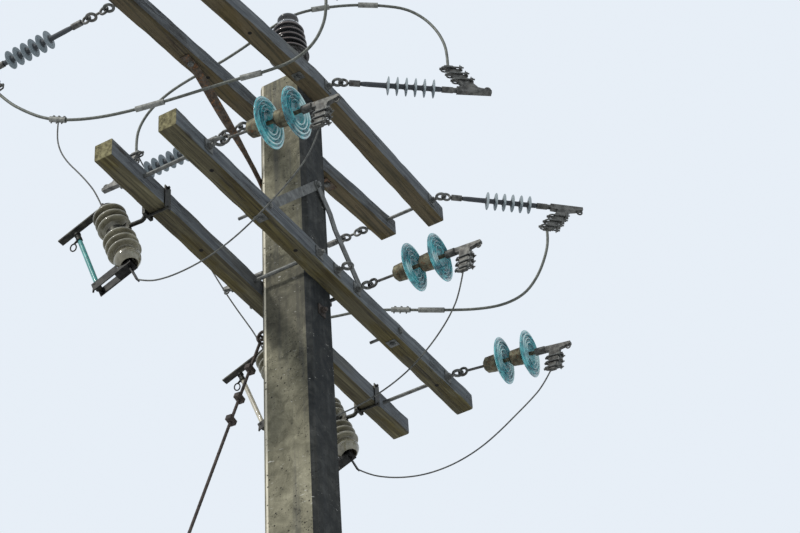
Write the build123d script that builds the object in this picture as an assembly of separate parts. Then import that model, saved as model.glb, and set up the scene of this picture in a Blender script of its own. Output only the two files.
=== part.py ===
from build123d import *
import math
import os

# Concrete utility pole with two pairs of timber crossarms, from ground level up.
# Millimetres, +Z up. The origin is the middle of the pole at ground level.
# X runs along the lower crossarms, -Y is the side that the branch line leaves from.

os.makedirs("parts", exist_ok=True)

# Pole
pole_height = 9810.0
pole_top_x = 211.0
pole_top_y = 267.0
pole_taper = 9.5 / 1000
pole_chamfer = 22.0

# Crossarms
arm_width = 100.0
arm_height = 100.0
lower_arm_z = 8400.0
upper_arm_z = 9656.0
arm_edge = 4.0
arm_length = 2716.0
lower_arm_centre_x = 0.0
upper_front_centre_x = -109.0
upper_back_centre_x = -160.0
pole_seat = 130.0
lower_back_pinch_left = -20.0
lower_back_spread_right = 18.0
upper_front_pinch_left = 106.0
upper_front_pinch_right = 17.0
upper_back_skew = 164.0

# Bolts, washers and eyes
bolt_d = 20.0
hole_clearance = 0.5
washer_side = 60.0
washer_t = 6.0
nut_flats = 30.0
nut_t = 16.0
eye_ring_r = 24.0
eye_bar_r = 8.0
eye_neck = 22.0
bolt_tip = 12.0
upper_bolt_x = (-1110.0, 0.0, 1110.0)
lower_bolt_x = (-1105.0, -165.0, 0.0, 185.0, 1090.0)
spool_at = 3
seat_gap = 0.3

# V braces
brace_bolt_z = 9060.0
brace_foot_x = 600.0
brace_w = 50.0
brace_t = 6.0
brace_bolt_d = 16.0
brace_stub = 70.0

# Spool on a lower through bolt
spool_r = 44.0
spool_len = 80.0
spool_y = -35.0

# Pin insulator on the pole top
pin_base_t = 12.0
pin_base_side = 150.0
pin_d = 26.0
pin_ins_bottom = 10030.0
pin_ins_height = 320.0
pin_ins_r = 112.0
pin_sheds = 5

# Tension insulators with polymer sheds
link_ring_r = 22.0
link_bar_r = 7.0
fitting_d = 34.0
fitting_start = 62.0
fitting_end = 120.0
rod_d = 28.0
shed_start = 263.0
shed_pitch = 49.0
shed_count = 6
shed_d = 108.0
line_fitting_start = 560.0
clamp_pivot = 640.0
extension = 110.0

# Strain clamp
clamp_t = 30.0
clamp_len = 190.0
clamp_tail = 170.0
clamp_lean = 115.0
small_clamp_lean = 20.0
ubolt_d = 10.0

# Glass cap and pin discs
disc_d = 255.0
disc_pitch = 146.0
disc_first = 235.0
cap_r = 46.0
cap_len = 78.0
glass_neck_r = 37.0
disc_pin_r = 10.0
glass_bore_r = 13.0
disc_count = 2

# Fuse cutouts
fuse_x = (-920.0, 470.0, 1010.0)
fuse_y = 404.0
fuse_z = 8330.0
fuse_tilt = 20.0
porcelain_top = 215.0
porcelain_bottom = -200.0
porcelain_core_r = 41.0
porcelain_shed_r = 83.0
tube_y = 187.0
tube_r = 15.0
pivot_z = -190.0
cheek_t = 6.0
cheek_gap = 6.0
trunnion_r = 6.0
carrier_half = 18.0

# Cord sizes
jumper_d = 16.0
lead_d = 8.0


def half_x(z):
    """Half width of the pole along X at height z."""
    return (pole_top_x + pole_taper * (pole_height - z)) / 2


def half_y(z):
    """Half width of the pole along Y at height z."""
    return (pole_top_y + pole_taper * (pole_height - z)) / 2


def tube_along(points, radii, diameter):
    """Round bar along straight runs joined by tangent arcs."""
    path = FilletPolyline(*points, radius=radii)
    start = Plane(origin=path @ 0, z_dir=path % 0)
    return sweep(start * Circle(diameter / 2), path=path)


def rod(a, b, radius):
    """Round bar from point a to point b."""
    a = Vector(*a)
    b = Vector(*b)
    plane = Plane(origin=a, z_dir=b - a)
    return extrude(plane * Circle(radius), amount=(b - a).length)


def corner_radii(points):
    """Arc radius at each inner corner, 0.45 of the shorter run over the tangent of half the turn."""
    vectors = [Vector(*p) for p in points]
    radii = []
    for before, here, after in zip(vectors, vectors[1:], vectors[2:]):
        turn = (here - before).get_angle(after - here)
        shorter = min((here - before).length, (after - here).length)
        radii.append(0.45 * shorter / math.tan(math.radians(turn) / 2))
    return radii


def cord(name, points, diameter):
    """Cord solid along its route, with its radii and volume printed."""
    radii = corner_radii(points)
    path = FilletPolyline(*points, radius=radii)
    shape = sweep(Plane(origin=path @ 0, z_dir=path % 0) * Circle(diameter / 2), path=path)
    ratio = shape.volume / (math.pi * diameter**2 / 4 * path.length)
    print(name, "length", round(path.length), "radii", [round(r) for r in radii], "ratio", round(ratio, 4))
    return shape


def save(shape, name):
    """Write one node."""
    export_step(shape, "parts/" + name + ".step")


# Crossarms
def arm_points(centre_x, side, z, left, right, at_pole=0.0):
    """Inner face of an arm in plan, as x and y from left end to right end."""
    seat = half_y(z) + at_pole
    x0 = centre_x - arm_length / 2
    x1 = centre_x + arm_length / 2
    return [
        (x0, side * (seat + left)),
        (-pole_seat, side * seat),
        (pole_seat, side * seat),
        (x1, side * (seat + right)),
    ]


lower_back = arm_points(lower_arm_centre_x, 1, lower_arm_z, lower_back_pinch_left, lower_back_spread_right)
lower_front = arm_points(lower_arm_centre_x, -1, lower_arm_z, 0, 0)
upper_front = arm_points(
    upper_front_centre_x, -1, upper_arm_z, -upper_front_pinch_left, -upper_front_pinch_right
)
upper_back_x0 = upper_back_centre_x - arm_length / 2
upper_back_x1 = upper_back_centre_x + arm_length / 2
skew_rate = upper_back_skew / arm_length
corner_x = half_x(upper_arm_z) - pole_chamfer
upper_back_y1 = half_y(upper_arm_z) - skew_rate * (upper_back_x1 - corner_x)
upper_back = [
    (upper_back_x0, upper_back_y1 + upper_back_skew),
    (upper_back_x1, upper_back_y1),
]


def inner_y(points, x):
    """Plan position of an arm's inner face at x."""
    for (xa, ya), (xb, yb) in zip(points, points[1:]):
        if x <= xb:
            return ya + (yb - ya) * (x - xa) / (xb - xa)
    return points[-1][1]


def inner_yaw(points, x):
    """Angle of an arm's inner face in plan at x, in degrees."""
    for (xa, ya), (xb, yb) in zip(points, points[1:]):
        if x <= xb:
            return math.degrees(math.atan2(yb - ya, xb - xa))
    return 0.0


def arm(points, side, z, bolt_xs, foot_axis=None):
    """Timber arm drilled for its bolts, and for the brace feet if it carries any."""
    outer = [(x, y + side * arm_width) for x, y in reversed(points)]
    outline = make_face(Polyline(*points, *outer, close=True))
    timber = extrude(Pos(0, 0, z) * outline, amount=arm_height)
    for x in bolt_xs:
        middle = inner_y(points, x) + side * arm_width / 2
        hole = Cylinder(bolt_d / 2 + hole_clearance, arm_width * 2)
        timber -= Pos(x, middle, z + arm_height / 2) * Rot(90, 0, 0) * hole
    if foot_axis:
        for x in (-brace_foot_x, brace_foot_x):
            middle = inner_y(points, x) + side * arm_width / 2
            hole = Cylinder(brace_bolt_d / 2 + hole_clearance, arm_width * 2)
            timber -= Pos(x, middle, z + arm_height / 2) * Rot(90 if foot_axis == "y" else 0, 0, 0) * hole
    return timber


def save_arms():
    """Two arms of each pair."""
    save(arm(lower_back, 1, lower_arm_z, lower_bolt_x), "lower_arm_back")
    save(arm(lower_front, -1, lower_arm_z, lower_bolt_x, "y"), "lower_arm_front")
    save(arm(upper_back, 1, upper_arm_z, upper_bolt_x, "z"), "upper_arm_back")
    save(arm(upper_front, -1, upper_arm_z, upper_bolt_x), "upper_arm_front")


def nut(thickness=nut_t):
    """Hexagon nut with its underside on z = 0."""
    return extrude(RegularPolygon(nut_flats / 2, 6, major_radius=False), amount=thickness)


def bolt_end(points, side, x, z, eye):
    """Washer, nut and an eye or a plain tip, outside an arm at x."""
    face = inner_y(points, x) + side * arm_width
    yaw = inner_yaw(points, x)
    washer = Pos(x, face, z) * Rot(0, 0, yaw) * Box(washer_side, washer_t, washer_side)
    washer = Pos(0, side * (washer_t / 2 + seat_gap / 3), 0) * washer
    y = face + side * washer_t
    toward = Plane(origin=(x, y, z), x_dir=(1, 0, 0), z_dir=(0, side, 0))
    end = washer + toward * nut()
    if eye:
        neck = toward * Pos(0, 0, nut_t) * Cylinder(bolt_d / 2, eye_neck, align=(Align.CENTER, Align.CENTER, Align.MIN))
        ring = toward * Pos(0, 0, nut_t + eye_neck + eye_ring_r - eye_bar_r / 2)
        ring = ring * Rot(90, 0, 0) * Torus(eye_ring_r, eye_bar_r)
        return end + neck + ring
    tip = toward * Pos(0, 0, nut_t) * Cylinder(bolt_d / 2, bolt_tip, align=(Align.CENTER, Align.CENTER, Align.MIN))
    return end + tip


def eye_centre(points, side, x, z):
    """Centre of the eye ring outside an arm."""
    face = inner_y(points, x) + side * arm_width
    reach = washer_t + nut_t + eye_neck + eye_ring_r - eye_bar_r / 2
    return (x, face + side * reach, z)


def through_bolt(front, back, x, z, front_eye, back_eye):
    """Bolt along Y through both arms of a pair, with its ends."""
    y0 = inner_y(front, x) - arm_width - washer_t
    y1 = inner_y(back, x) + arm_width + washer_t
    shank = rod((x, y0, z), (x, y1, z), bolt_d / 2)
    return shank + bolt_end(front, -1, x, z, front_eye) + bolt_end(back, 1, x, z, back_eye)


upper_bolt_z = upper_arm_z + arm_height / 2
lower_bolt_z = lower_arm_z + arm_height / 2


def save_bolts():
    """Through bolts of each pair, as solids that do not touch."""
    upper = [through_bolt(upper_front, upper_back, x, upper_bolt_z, True, True) for x in upper_bolt_x]
    save(Compound(children=upper), "upper_arm_bolts")
    lower_eyes = (True, False, True, True, True)
    lower = [
        through_bolt(lower_front, lower_back, x, lower_bolt_z, eye, False)
        for x, eye in zip(lower_bolt_x, lower_eyes)
    ]
    save(Compound(children=lower), "lower_arm_bolts")


# Pole
def pole_outline(z):
    """Corners of the pole's chamfered rectangle at height z."""
    x = half_x(z)
    y = half_y(z)
    c = pole_chamfer
    quarter = [(x, y - c), (x - c, y)]
    corners = quarter + [(-x + c, y), (-x, y - c), (-x, -y + c), (-x + c, -y), (x - c, -y), (x, -y + c)]
    return [(u, v, z) for u, v in corners]


def save_pole():
    """Tapered post, drilled for the bolts that pass through it."""
    low = pole_outline(0)
    high = pole_outline(pole_height)
    faces = [make_face(Polyline(*low, close=True)), make_face(Polyline(*high, close=True))]
    for i in range(len(low)):
        j = (i + 1) % len(low)
        faces.append(make_face(Polyline(low[i], low[j], high[j], high[i], close=True)))
    post = Solid(Shell(faces))
    drill = Rot(90, 0, 0) * Cylinder(bolt_d / 2 + hole_clearance, 600)
    post -= Pos(0, 0, upper_bolt_z) * drill
    post -= Pos(0, 0, lower_bolt_z) * drill
    post -= Pos(0, 0, stay_bolt_z) * drill
    post -= Pos(0, 0, brace_bolt_z) * Rot(90, 0, 0) * Cylinder(brace_bolt_d / 2 + hole_clearance, 600)
    save(post, "pole")


# V braces
def flat_run(a, b, across, width, thickness):
    """Straight flat bar from a to b, its width along the direction across."""
    a = Vector(*a)
    b = Vector(*b)
    plane = Plane(origin=a, x_dir=across, z_dir=b - a)
    return extrude(plane * Rectangle(width, thickness), amount=(b - a).length)


def brace_bolt():
    """Bolt through the pole that holds the top of one brace pair and the foot of the other."""
    y = half_y(brace_bolt_z - 2 * brace_w) + 2 * brace_t + 2 * seat_gap
    shank = rod((0, -y - nut_t, brace_bolt_z), (0, y + nut_t, brace_bolt_z), brace_bolt_d / 2)
    for side in (-1, 1):
        toward = Plane(origin=(0, side * y, brace_bolt_z), x_dir=(1, 0, 0), z_dir=(0, side, 0))
        shank += toward * nut(nut_t * 0.8)
    return shank


def brace_hole(x, y, z, axis):
    """Cutter for a bolt hole in a flat bar."""
    turn = Rot(90, 0, 0) if axis == "y" else Rot(0, 0, 0)
    return Pos(x, y, z) * turn * Cylinder(brace_bolt_d / 2 + hole_clearance, 60)


def chain(points, across):
    """Flat bar through several points, with round turns at its bends."""
    bar = flat_run(points[0], points[1], across, brace_w, brace_t)
    for a, b in zip(points[1:], points[2:]):
        bar += flat_run(a, b, across, brace_w, brace_t)
    for point in points:
        bar += Pos(*point) * Rot(90, 0, 0) * Cylinder(brace_w / 2, brace_t)
    return bar


def lower_leg(side, layer):
    """Flat bar from the pole's front face down to the inner face of the front arm."""
    top_y = -half_y(brace_bolt_z - 2 * brace_w) - brace_t * (layer + 0.5) - seat_gap
    foot_y = inner_y(lower_front, side * brace_foot_x) + brace_t / 2 + seat_gap
    fall = (brace_bolt_z - lower_bolt_z) / brace_foot_x
    shoulder_x = half_x(brace_bolt_z) + 0.1 * brace_w
    knee_x = shoulder_x + 1.2 * brace_w
    top = (0, top_y, brace_bolt_z)
    shoulder = (side * shoulder_x, top_y, brace_bolt_z - fall * shoulder_x)
    knee = (side * knee_x, foot_y, brace_bolt_z - fall * knee_x)
    foot = (side * brace_foot_x, foot_y, lower_bolt_z)
    leg = chain([top, shoulder, knee, foot], (fall, 0, side))
    return leg - brace_hole(*top, "y") - brace_hole(*foot, "y")


def foot_bolt(side):
    """Bolt along Y through the front arm at a brace foot, long on the inner side."""
    x = side * brace_foot_x
    inner = inner_y(lower_front, x) + brace_t + seat_gap
    outer = inner_y(lower_front, x) - arm_width
    shank = rod((x, outer - nut_t, lower_bolt_z), (x, inner + brace_stub, lower_bolt_z), brace_bolt_d / 2)
    for y, way in ((outer, -1), (inner, 1)):
        toward = Plane(origin=(x, y, lower_bolt_z), x_dir=(1, 0, 0), z_dir=(0, way, 0))
        shank += toward * nut(nut_t * 0.8)
    return shank


def upper_leg(side, layer):
    """Flat bar from the pole's back face up to a foot under the back arm."""
    top_y = half_y(brace_bolt_z) + brace_t * (layer + 0.5) + seat_gap
    x = side * brace_foot_x
    foot_y = inner_y(upper_back, x) + arm_width / 2
    apex = (0, top_y, brace_bolt_z)
    knee = (side * (half_x(brace_bolt_z) + brace_w), top_y, brace_bolt_z + half_x(brace_bolt_z) + brace_w)
    heel = (x - side * brace_w, foot_y, upper_arm_z - 0.4 * brace_w)
    foot = (x + side * brace_w * 0.7, foot_y, upper_arm_z - brace_t / 2 - seat_gap)
    leg = flat_run(apex, knee, (1, 0, -side), brace_w, brace_t)
    leg += Pos(*apex) * Rot(90, 0, 0) * Cylinder(brace_w / 2, brace_t)
    leg += flat_run(knee, heel, (1, 0, -side), brace_w, brace_t)
    leg += Pos(*knee) * Rot(90, 0, 0) * Cylinder(brace_w / 2, brace_t)
    leg += Pos(x, foot_y, foot[2]) * Box(2.4 * brace_w, brace_w, brace_t)
    return leg - brace_hole(*apex, "y") - brace_hole(x, foot_y, foot[2], "z")


def upper_foot_bolt(side):
    """Upright bolt through the back arm at a brace foot."""
    x = side * brace_foot_x
    y = inner_y(upper_back, x) + arm_width / 2
    low = upper_arm_z - brace_t - 2 * seat_gap
    high = upper_arm_z + arm_height
    shank = rod((x, y, low - nut_t), (x, y, high + nut_t), brace_bolt_d / 2)
    shank += Pos(x, y, low - nut_t * 0.8) * nut(nut_t * 0.8)
    shank += Pos(x, y, high) * nut(nut_t * 0.8)
    return shank


def save_braces():
    """Two V braces and their bolts."""
    save(Compound(children=[lower_leg(-1, 0), lower_leg(1, 1)]), "lower_braces")
    save(Compound(children=[upper_leg(-1, 0), upper_leg(1, 1)]), "upper_braces")
    feet = [foot_bolt(-1), foot_bolt(1), upper_foot_bolt(-1), upper_foot_bolt(1)]
    save(Compound(children=[brace_bolt()] + feet), "brace_bolts")


def save_spool():
    """Small ribbed spool on the through bolt beside the pole."""
    x = lower_bolt_x[spool_at]
    bore = bolt_d / 2 + seat_gap
    half = spool_len / 2
    profile = [(bore, -half), (spool_r - 12, -half)]
    for z in (-half + 6, -half + 26, -half + 46):
        profile += [(spool_r, z), (spool_r, z + 10), (spool_r - 14, z + 15)]
    profile += [(spool_r - 14, half), (bore, half)]
    body = revolve(make_face(Plane.XZ * Polyline(*profile, close=True)), axis=Axis.Z)
    save(Pos(x, spool_y, lower_bolt_z) * Rot(90, 0, 0) * body, "bolt_spool")


# Pole top pin insulator
def save_pin_insulator():
    """Multi shed insulator on a steel pin bolted to the pole top."""
    pitch = (pin_ins_height - 90) / pin_sheds
    profile = [(pin_d / 2 + seat_gap, 0), (60, 0)]
    for i in range(pin_sheds):
        z = 20 + i * pitch
        reach = pin_ins_r - 6 * i
        profile += [(70, z), (reach, z + 4), (reach, z + 14), (72, z + pitch * 0.8)]
    top = pin_ins_height
    profile += [(60, top - 50), (45, top - 40), (60, top - 20), (50, top), (0, top), (0, 120), (pin_d / 2 + seat_gap, 120)]
    face = make_face(Polyline(*[(r, 0, z) for r, z in profile], close=True))
    body = revolve(face, axis=Axis.Z)
    save(Pos(0, 0, pin_ins_bottom) * body, "pin_insulator")
    base = Pos(0, 0, pole_height + pin_base_t / 2) * Box(pin_base_side, pin_base_side, pin_base_t)
    collar = Pos(0, 0, pole_height + pin_base_t + 30) * Cylinder(24, 60)
    stem = rod((0, 0, pole_height), (0, 0, pin_ins_bottom + 119), pin_d / 2)
    save(base + collar + stem, "pin_insulator_pin")


# Tension sets, made along local X from the middle of the eye ring
def set_plane(origin, heading, slope):
    """Local frame of a tension set: X along it, Z up."""
    h = math.radians(heading)
    s = math.radians(slope)
    x_dir = Vector(math.cos(h) * math.cos(s), math.sin(h) * math.cos(s), math.sin(s))
    z_dir = Vector(-math.cos(h) * math.sin(s), -math.sin(h) * math.sin(s), math.cos(s))
    return Plane(origin=origin, x_dir=x_dir, z_dir=z_dir)


def along_x(radius, x0, x1):
    """Round bar on the local X axis."""
    return rod((x0, 0, 0), (x1, 0, 0), radius)


def strain_clamp(x, size, flip, lean):
    """Bolted strain clamp: body along X, tail with three U-bolts, open eye at its end."""
    t = clamp_t * size
    length = clamp_len * size
    tail = clamp_tail * size
    sign = 1 if flip else -1
    outline = Polyline(
        (0, 16 * size),
        (length, 10 * size),
        (length, -8 * size),
        (0.62 * length, -22 * size),
        (0.55 * length - lean, -tail),
        (0.3 * length - lean, -tail),
        (0.22 * length, -22 * size),
        (0, -18 * size),
        close=True,
    )
    plate = extrude(Plane.XZ * make_face(outline), amount=t / 2, both=True)
    body = Pos(x, 0, 0) * plate
    for share in (0.42, 0.66, 0.9):
        z = -tail * share
        middle = x + 0.43 * length - lean * share
        bolt = rod((middle - 0.32 * length, 0, z), (middle + 0.34 * length, 0, z), ubolt_d / 2 * size + 2)
        body += bolt
    eye = Pos(x + 0.9 * length, 0, -20 * size) * Rot(90, 0, 0) * Torus(14 * size, 5 * size)
    body += eye
    if sign > 0:
        body = mirror(body, about=Plane.XY)
    return body


def tail_end(x, size, flip, lean):
    """Local point where the conductor leaves the clamp's tail."""
    drop = clamp_tail * size
    return (x + 0.425 * clamp_len * size - lean, 0, drop if flip else -drop)


ring_step = eye_ring_r + link_ring_r - eye_bar_r - link_bar_r - seat_gap


def link_ring(x):
    """Upright ring linked through the flat ring before it."""
    return Pos(x, 0, 0) * Rot(90, 0, 0) * Torus(link_ring_r, link_bar_r)


def polymer_body(start):
    """Sheathed rod with its sheds."""
    body = along_x(rod_d / 2, start + fitting_end + seat_gap, start + line_fitting_start - seat_gap)
    for i in range(shed_count):
        x = start + shed_start + i * shed_pitch
        half = Polyline((x - 9, rod_d / 2 - 1), (x + 5, shed_d / 2), (x + 8, shed_d / 2), (x + 9, rod_d / 2 - 1), close=True)
        body += revolve(make_face(half), axis=Axis.X)
    return body


def polymer_hardware(start, flip):
    """Arm end fitting with its ring, and line end fitting with the strain clamp."""
    near = link_ring(start + ring_step)
    near += along_x(link_bar_r, start + ring_step + link_ring_r, start + fitting_start)
    near += along_x(fitting_d / 2, start + fitting_start, start + fitting_end)
    far = along_x(fitting_d / 2, start + line_fitting_start, start + line_fitting_start + 60)
    far += along_x(14, start + line_fitting_start + 50, start + clamp_pivot + 10)
    far += strain_clamp(start + clamp_pivot, 1.0, flip, clamp_lean)
    return near, far


def extension_link():
    """Shackle and twisted strap between the eye and a back insulator."""
    first = link_ring(ring_step)
    bar = along_x(link_bar_r, ring_step + link_ring_r, extension - eye_ring_r)
    last = Pos(extension, 0, 0) * Torus(eye_ring_r, eye_bar_r)
    return first + bar + last


polymer_sets = {
    "front_left": (upper_front, -1, -1110.0, -48.0, 0.0, False, 0.0),
    "front_middle": (upper_front, -1, 0.0, -50.0, 0.0, True, 0.0),
    "front_right": (upper_front, -1, 1110.0, -47.0, 0.0, False, 0.0),
    "back_left": (upper_back, 1, -1110.0, 90.0, -2.0, False, extension),
    "back_middle": (upper_back, 1, 0.0, 90.0, 0.0, True, extension),
    "back_right": (upper_back, 1, 1110.0, 92.0, -2.0, False, extension),
}


def polymer_plane(name):
    """Local frame of one polymer set."""
    points, side, x, heading, slope, flip, start = polymer_sets[name]
    return set_plane(eye_centre(points, side, x, upper_bolt_z), heading, slope)


def save_polymer_sets():
    """Six tension sets of the main line."""
    for name, (points, side, x, heading, slope, flip, start) in polymer_sets.items():
        place = polymer_plane(name).location
        save(place * polymer_body(start), name + "_insulator")
        solids = list(polymer_hardware(start, flip))
        if start:
            solids.append(extension_link())
        save(Compound(children=[place * s for s in solids]), name + "_clamp")


# Glass strings
def glass_disc(x):
    """Toughened glass shell whose ribbed side faces the conductor."""
    rim = disc_d / 2
    profile = [
        (-50, glass_bore_r + 0.2),
        (-50, glass_neck_r - 0.2),
        (-4, glass_neck_r - 0.2),
        (2, 50),
        (12, 90),
        (26, rim - 4),
        (32, rim),
        (36, rim - 3),
        (30, rim - 16),
    ]
    for r in (104, 82, 60):
        profile += [(44, r + 2), (44, r - 3), (22, r - 8)]
    profile += [(16, 30), (6, glass_bore_r + 0.2)]
    face = make_face(Polyline(*[(x + a, r) for a, r in profile], close=True))
    return revolve(face, axis=Axis.X)


def disc_cap(x):
    """Metal cap over the glass neck."""
    profile = [
        (-cap_len, 0),
        (-cap_len, 26),
        (-cap_len + 14, cap_r - 4),
        (-20, cap_r),
        (-6, cap_r),
        (-6, glass_neck_r),
        (-50.2, glass_neck_r),
        (-50.2, 0),
    ]
    face = make_face(Polyline(*[(x + a, r) for a, r in profile], close=True))
    return revolve(face, axis=Axis.X)


def disc_pin(x, end):
    """Pin cemented into the glass, running on to the next cap or fitting."""
    return along_x(glass_bore_r, x - 49.8, x + 8) + along_x(disc_pin_r, x + 7, end)


glass_sets = {
    "left": (-1105.0, -88.5, -4.0),
    "middle": (185.0, -88.5, -1.0),
    "right": (1090.0, -85.0, -4.0),
}
glass_clamp_size = 0.8
glass_clamp_at = disc_first + disc_pitch + 110


def glass_plane(name):
    """Local frame of one glass string."""
    x, heading, slope = glass_sets[name]
    return set_plane(eye_centre(lower_front, -1, x, lower_bolt_z), heading, slope)


def save_glass_sets():
    """Three strings of two discs for the branch line."""
    second = disc_first + disc_pitch
    for name in glass_sets:
        place = glass_plane(name).location
        discs = [place * glass_disc(x) for x in (disc_first, second)]
        save(Compound(children=discs), name + "_glass_discs")
        first_cap = link_ring(ring_step) + along_x(link_bar_r, ring_step + link_ring_r, disc_first - cap_len + 2)
        first_cap += disc_cap(disc_first)
        second_cap = disc_pin(disc_first, second - cap_len + 2) + disc_cap(second)
        end = disc_pin(second, glass_clamp_at - 30)
        end += along_x(20, glass_clamp_at - 45, glass_clamp_at + 8)
        end += strain_clamp(glass_clamp_at, glass_clamp_size, False, small_clamp_lean)
        save(Compound(children=[place * s for s in (first_cap, second_cap, end)]), name + "_glass_hardware")


# Fuse cutouts, made about the middle of the porcelain: Z up its axis, Y outward
def fuse_place(x):
    """Place of one cutout, its top leaning outward."""
    return Pos(x, fuse_y, fuse_z) * Rot(-fuse_tilt, 0, 0)


def porcelain():
    """Glazed post with three sheds above the collar and three below."""
    core = porcelain_core_r
    shed = porcelain_shed_r
    profile = [(0, porcelain_top), (core + 10, porcelain_top)]
    for z in (185, 140, 95):
        profile += [(shed - 10, z), (shed, z - 14), (shed - 4, z - 18), (core + 6, z - 14)]
    profile += [(core, 60), (core, 0)]
    for z in (-5, -50, -95):
        profile += [(shed - 10, z), (shed, z - 14), (shed - 4, z - 18), (core + 6, z - 14)]
    profile += [(core + 18, -150), (core + 4, porcelain_bottom), (28, porcelain_bottom), (28, -165), (0, -165)]
    face = make_face(Plane.XZ * Polyline(*profile, close=True))
    return revolve(face, axis=Axis.Z)


collar_z = 30.0
collar_h = 40.0


def fuse_collar():
    """Two halves of the band that holds the porcelain's waist, fused."""
    ring = Cylinder(porcelain_core_r + 8, collar_h) - Cylinder(porcelain_core_r + seat_gap / 3, collar_h)
    lug = Pos(0, -(porcelain_core_r + 20), 0) * Box(20, 32, collar_h)
    return Pos(0, 0, collar_z) * (ring + lug)


def fuse_top():
    """Cap, contact bar and hood above the tube."""
    cap = Pos(0, 0, porcelain_top + 8) * Cylinder(44, 16)
    bar = Pos(0, 135, porcelain_top + 38) * Box(38, 300, 8)
    riser = Pos(0, 0, porcelain_top + 26) * Box(38, 30, 24)
    post = Pos(0, 10, porcelain_top + 55) * Cylinder(9, 34)
    return cap + bar + riser + post


def fuse_hinge():
    """Stem, cheeks and terminal lug below the porcelain."""
    stem = Pos(0, 0, -190) * Cylinder(20, 50)
    cheeks = []
    for side in (-1, 1):
        x = side * (carrier_half + cheek_gap + cheek_t / 2)
        plate = Pos(x, 130, pivot_z - 10) * Box(cheek_t, 148, 44)
        hole = Pos(x, tube_y, pivot_z) * Rot(0, 90, 0) * Cylinder(trunnion_r + 0.6, 40)
        cheeks.append(plate - hole)
    web = Pos(0, 30, pivot_z - 22) * Box(2 * (carrier_half + cheek_gap + cheek_t), 100, 20)
    return stem + web + cheeks


def fuse_lug(x):
    """Flat terminal hanging from the hinge casting, ending where the lead starts."""
    return flat_run((x, 336, 8132), (x, 286, 8024), (1, 0, 0), 26, 7)


def fuse_carrier():
    """Fuse tube with its ferrules, trunnion and pull ring."""
    tube = Pos(0, tube_y, 15) * Cylinder(tube_r, 350)
    low = Pos(0, tube_y, pivot_z + 12) * Box(2 * carrier_half - 4, 34, 52)
    trunnion = Pos(0, tube_y, pivot_z) * Rot(0, 90, 0) * Cylinder(trunnion_r, 2 * (carrier_half + cheek_gap + cheek_t))
    top = Pos(0, tube_y, 210) * Cylinder(tube_r + 5, 50)
    ring = Pos(0, tube_y + 44, 165) * Rot(0, 90, 0) * Torus(20, 5)
    arm_bar = rod((0, tube_y, 205), (0, tube_y + 40, 183), 6)
    return tube + low + trunnion + top + ring + arm_bar


fuse_names = ("left", "middle", "right")


def fuse_bracket(x):
    """Bent flat bar from the collar to the arm's outer face, and the straps round the arm."""
    lug_point = (fuse_place(x) * Pos(0, -(porcelain_core_r + 30), collar_z)).position
    face = inner_y(lower_back, x) + arm_width
    start = (x, lug_point.Y, lug_point.Z)
    knee = (x, face + 26, lug_point.Z - 6)
    top = (x, face + 26, lower_arm_z + arm_height * 0.8)
    bar = tube_along([start, knee, top], 24, 22)
    yaw = inner_yaw(lower_back, x)
    outer = Pos(x, face + 10 + seat_gap, lower_bolt_z) * Rot(0, 0, yaw) * Box(70, 16, 130)
    inner = Pos(x, face - arm_width - 4 - seat_gap, lower_bolt_z) * Rot(0, 0, yaw) * Box(46, 6, 130)
    bolts = []
    for z in (lower_arm_z - 10, lower_arm_z + arm_height + 10):
        bolts.append(rod((x, face - arm_width - 16, z), (x, face + 30, z), 7))
    return bar + outer + inner + bolts


def save_fuses():
    """Three cutouts hung from the lower back arm."""
    for name, x in zip(fuse_names, fuse_x):
        place = fuse_place(x)
        save(place * porcelain(), name + "_fuse_porcelain")
        bracket = place * fuse_collar() + fuse_bracket(x)
        save(Compound(children=[bracket, place * fuse_top(), place * fuse_hinge() + fuse_lug(x)]), name + "_fuse_metalwork")
        save(place * fuse_carrier(), name + "_fuse_carrier")


# Stay, from an eye bolt behind the pole down to its ground anchor
stay_bolt_z = 8240.0
stay_lean = 18.3
stay_heading = 160.0
stay_wire_d = 16.0
stay_length = stay_bolt_z / math.cos(math.radians(stay_lean))
stay_grip_at = (253.0, 463.0, 621.0)
anchor_len = 450.0
anchor_plate_t = 40.0
stay_eye_y = half_y(stay_bolt_z) + washer_t + nut_t + eye_neck + eye_ring_r - eye_bar_r / 2


def stay_point(along):
    """Point on the stay's line, at a distance from its eye."""
    h = math.radians(stay_heading)
    lean = math.radians(stay_lean)
    reach = along * math.sin(lean)
    return (reach * math.cos(h), stay_eye_y + reach * math.sin(h), stay_bolt_z - along * math.cos(lean))


def stay_bolt():
    """Eye bolt through the pole that carries the stay."""
    y0 = -half_y(stay_bolt_z) - washer_t - nut_t - bolt_tip
    y1 = half_y(stay_bolt_z) + washer_t + nut_t + eye_neck
    bolt = rod((0, y0, stay_bolt_z), (0, y1, stay_bolt_z), bolt_d / 2)
    for side in (-1, 1):
        face = side * half_y(stay_bolt_z - washer_side / 2)
        bolt += Pos(0, face + side * (washer_t / 2 + seat_gap), stay_bolt_z) * Box(washer_side, washer_t, washer_side)
        toward = Plane(origin=(0, face + side * washer_t, stay_bolt_z), x_dir=(1, 0, 0), z_dir=(0, side, 0))
        bolt += toward * nut()
    return bolt + Pos(0, stay_eye_y, stay_bolt_z) * Rot(0, 90, 0) * Torus(eye_ring_r, eye_bar_r)


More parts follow.
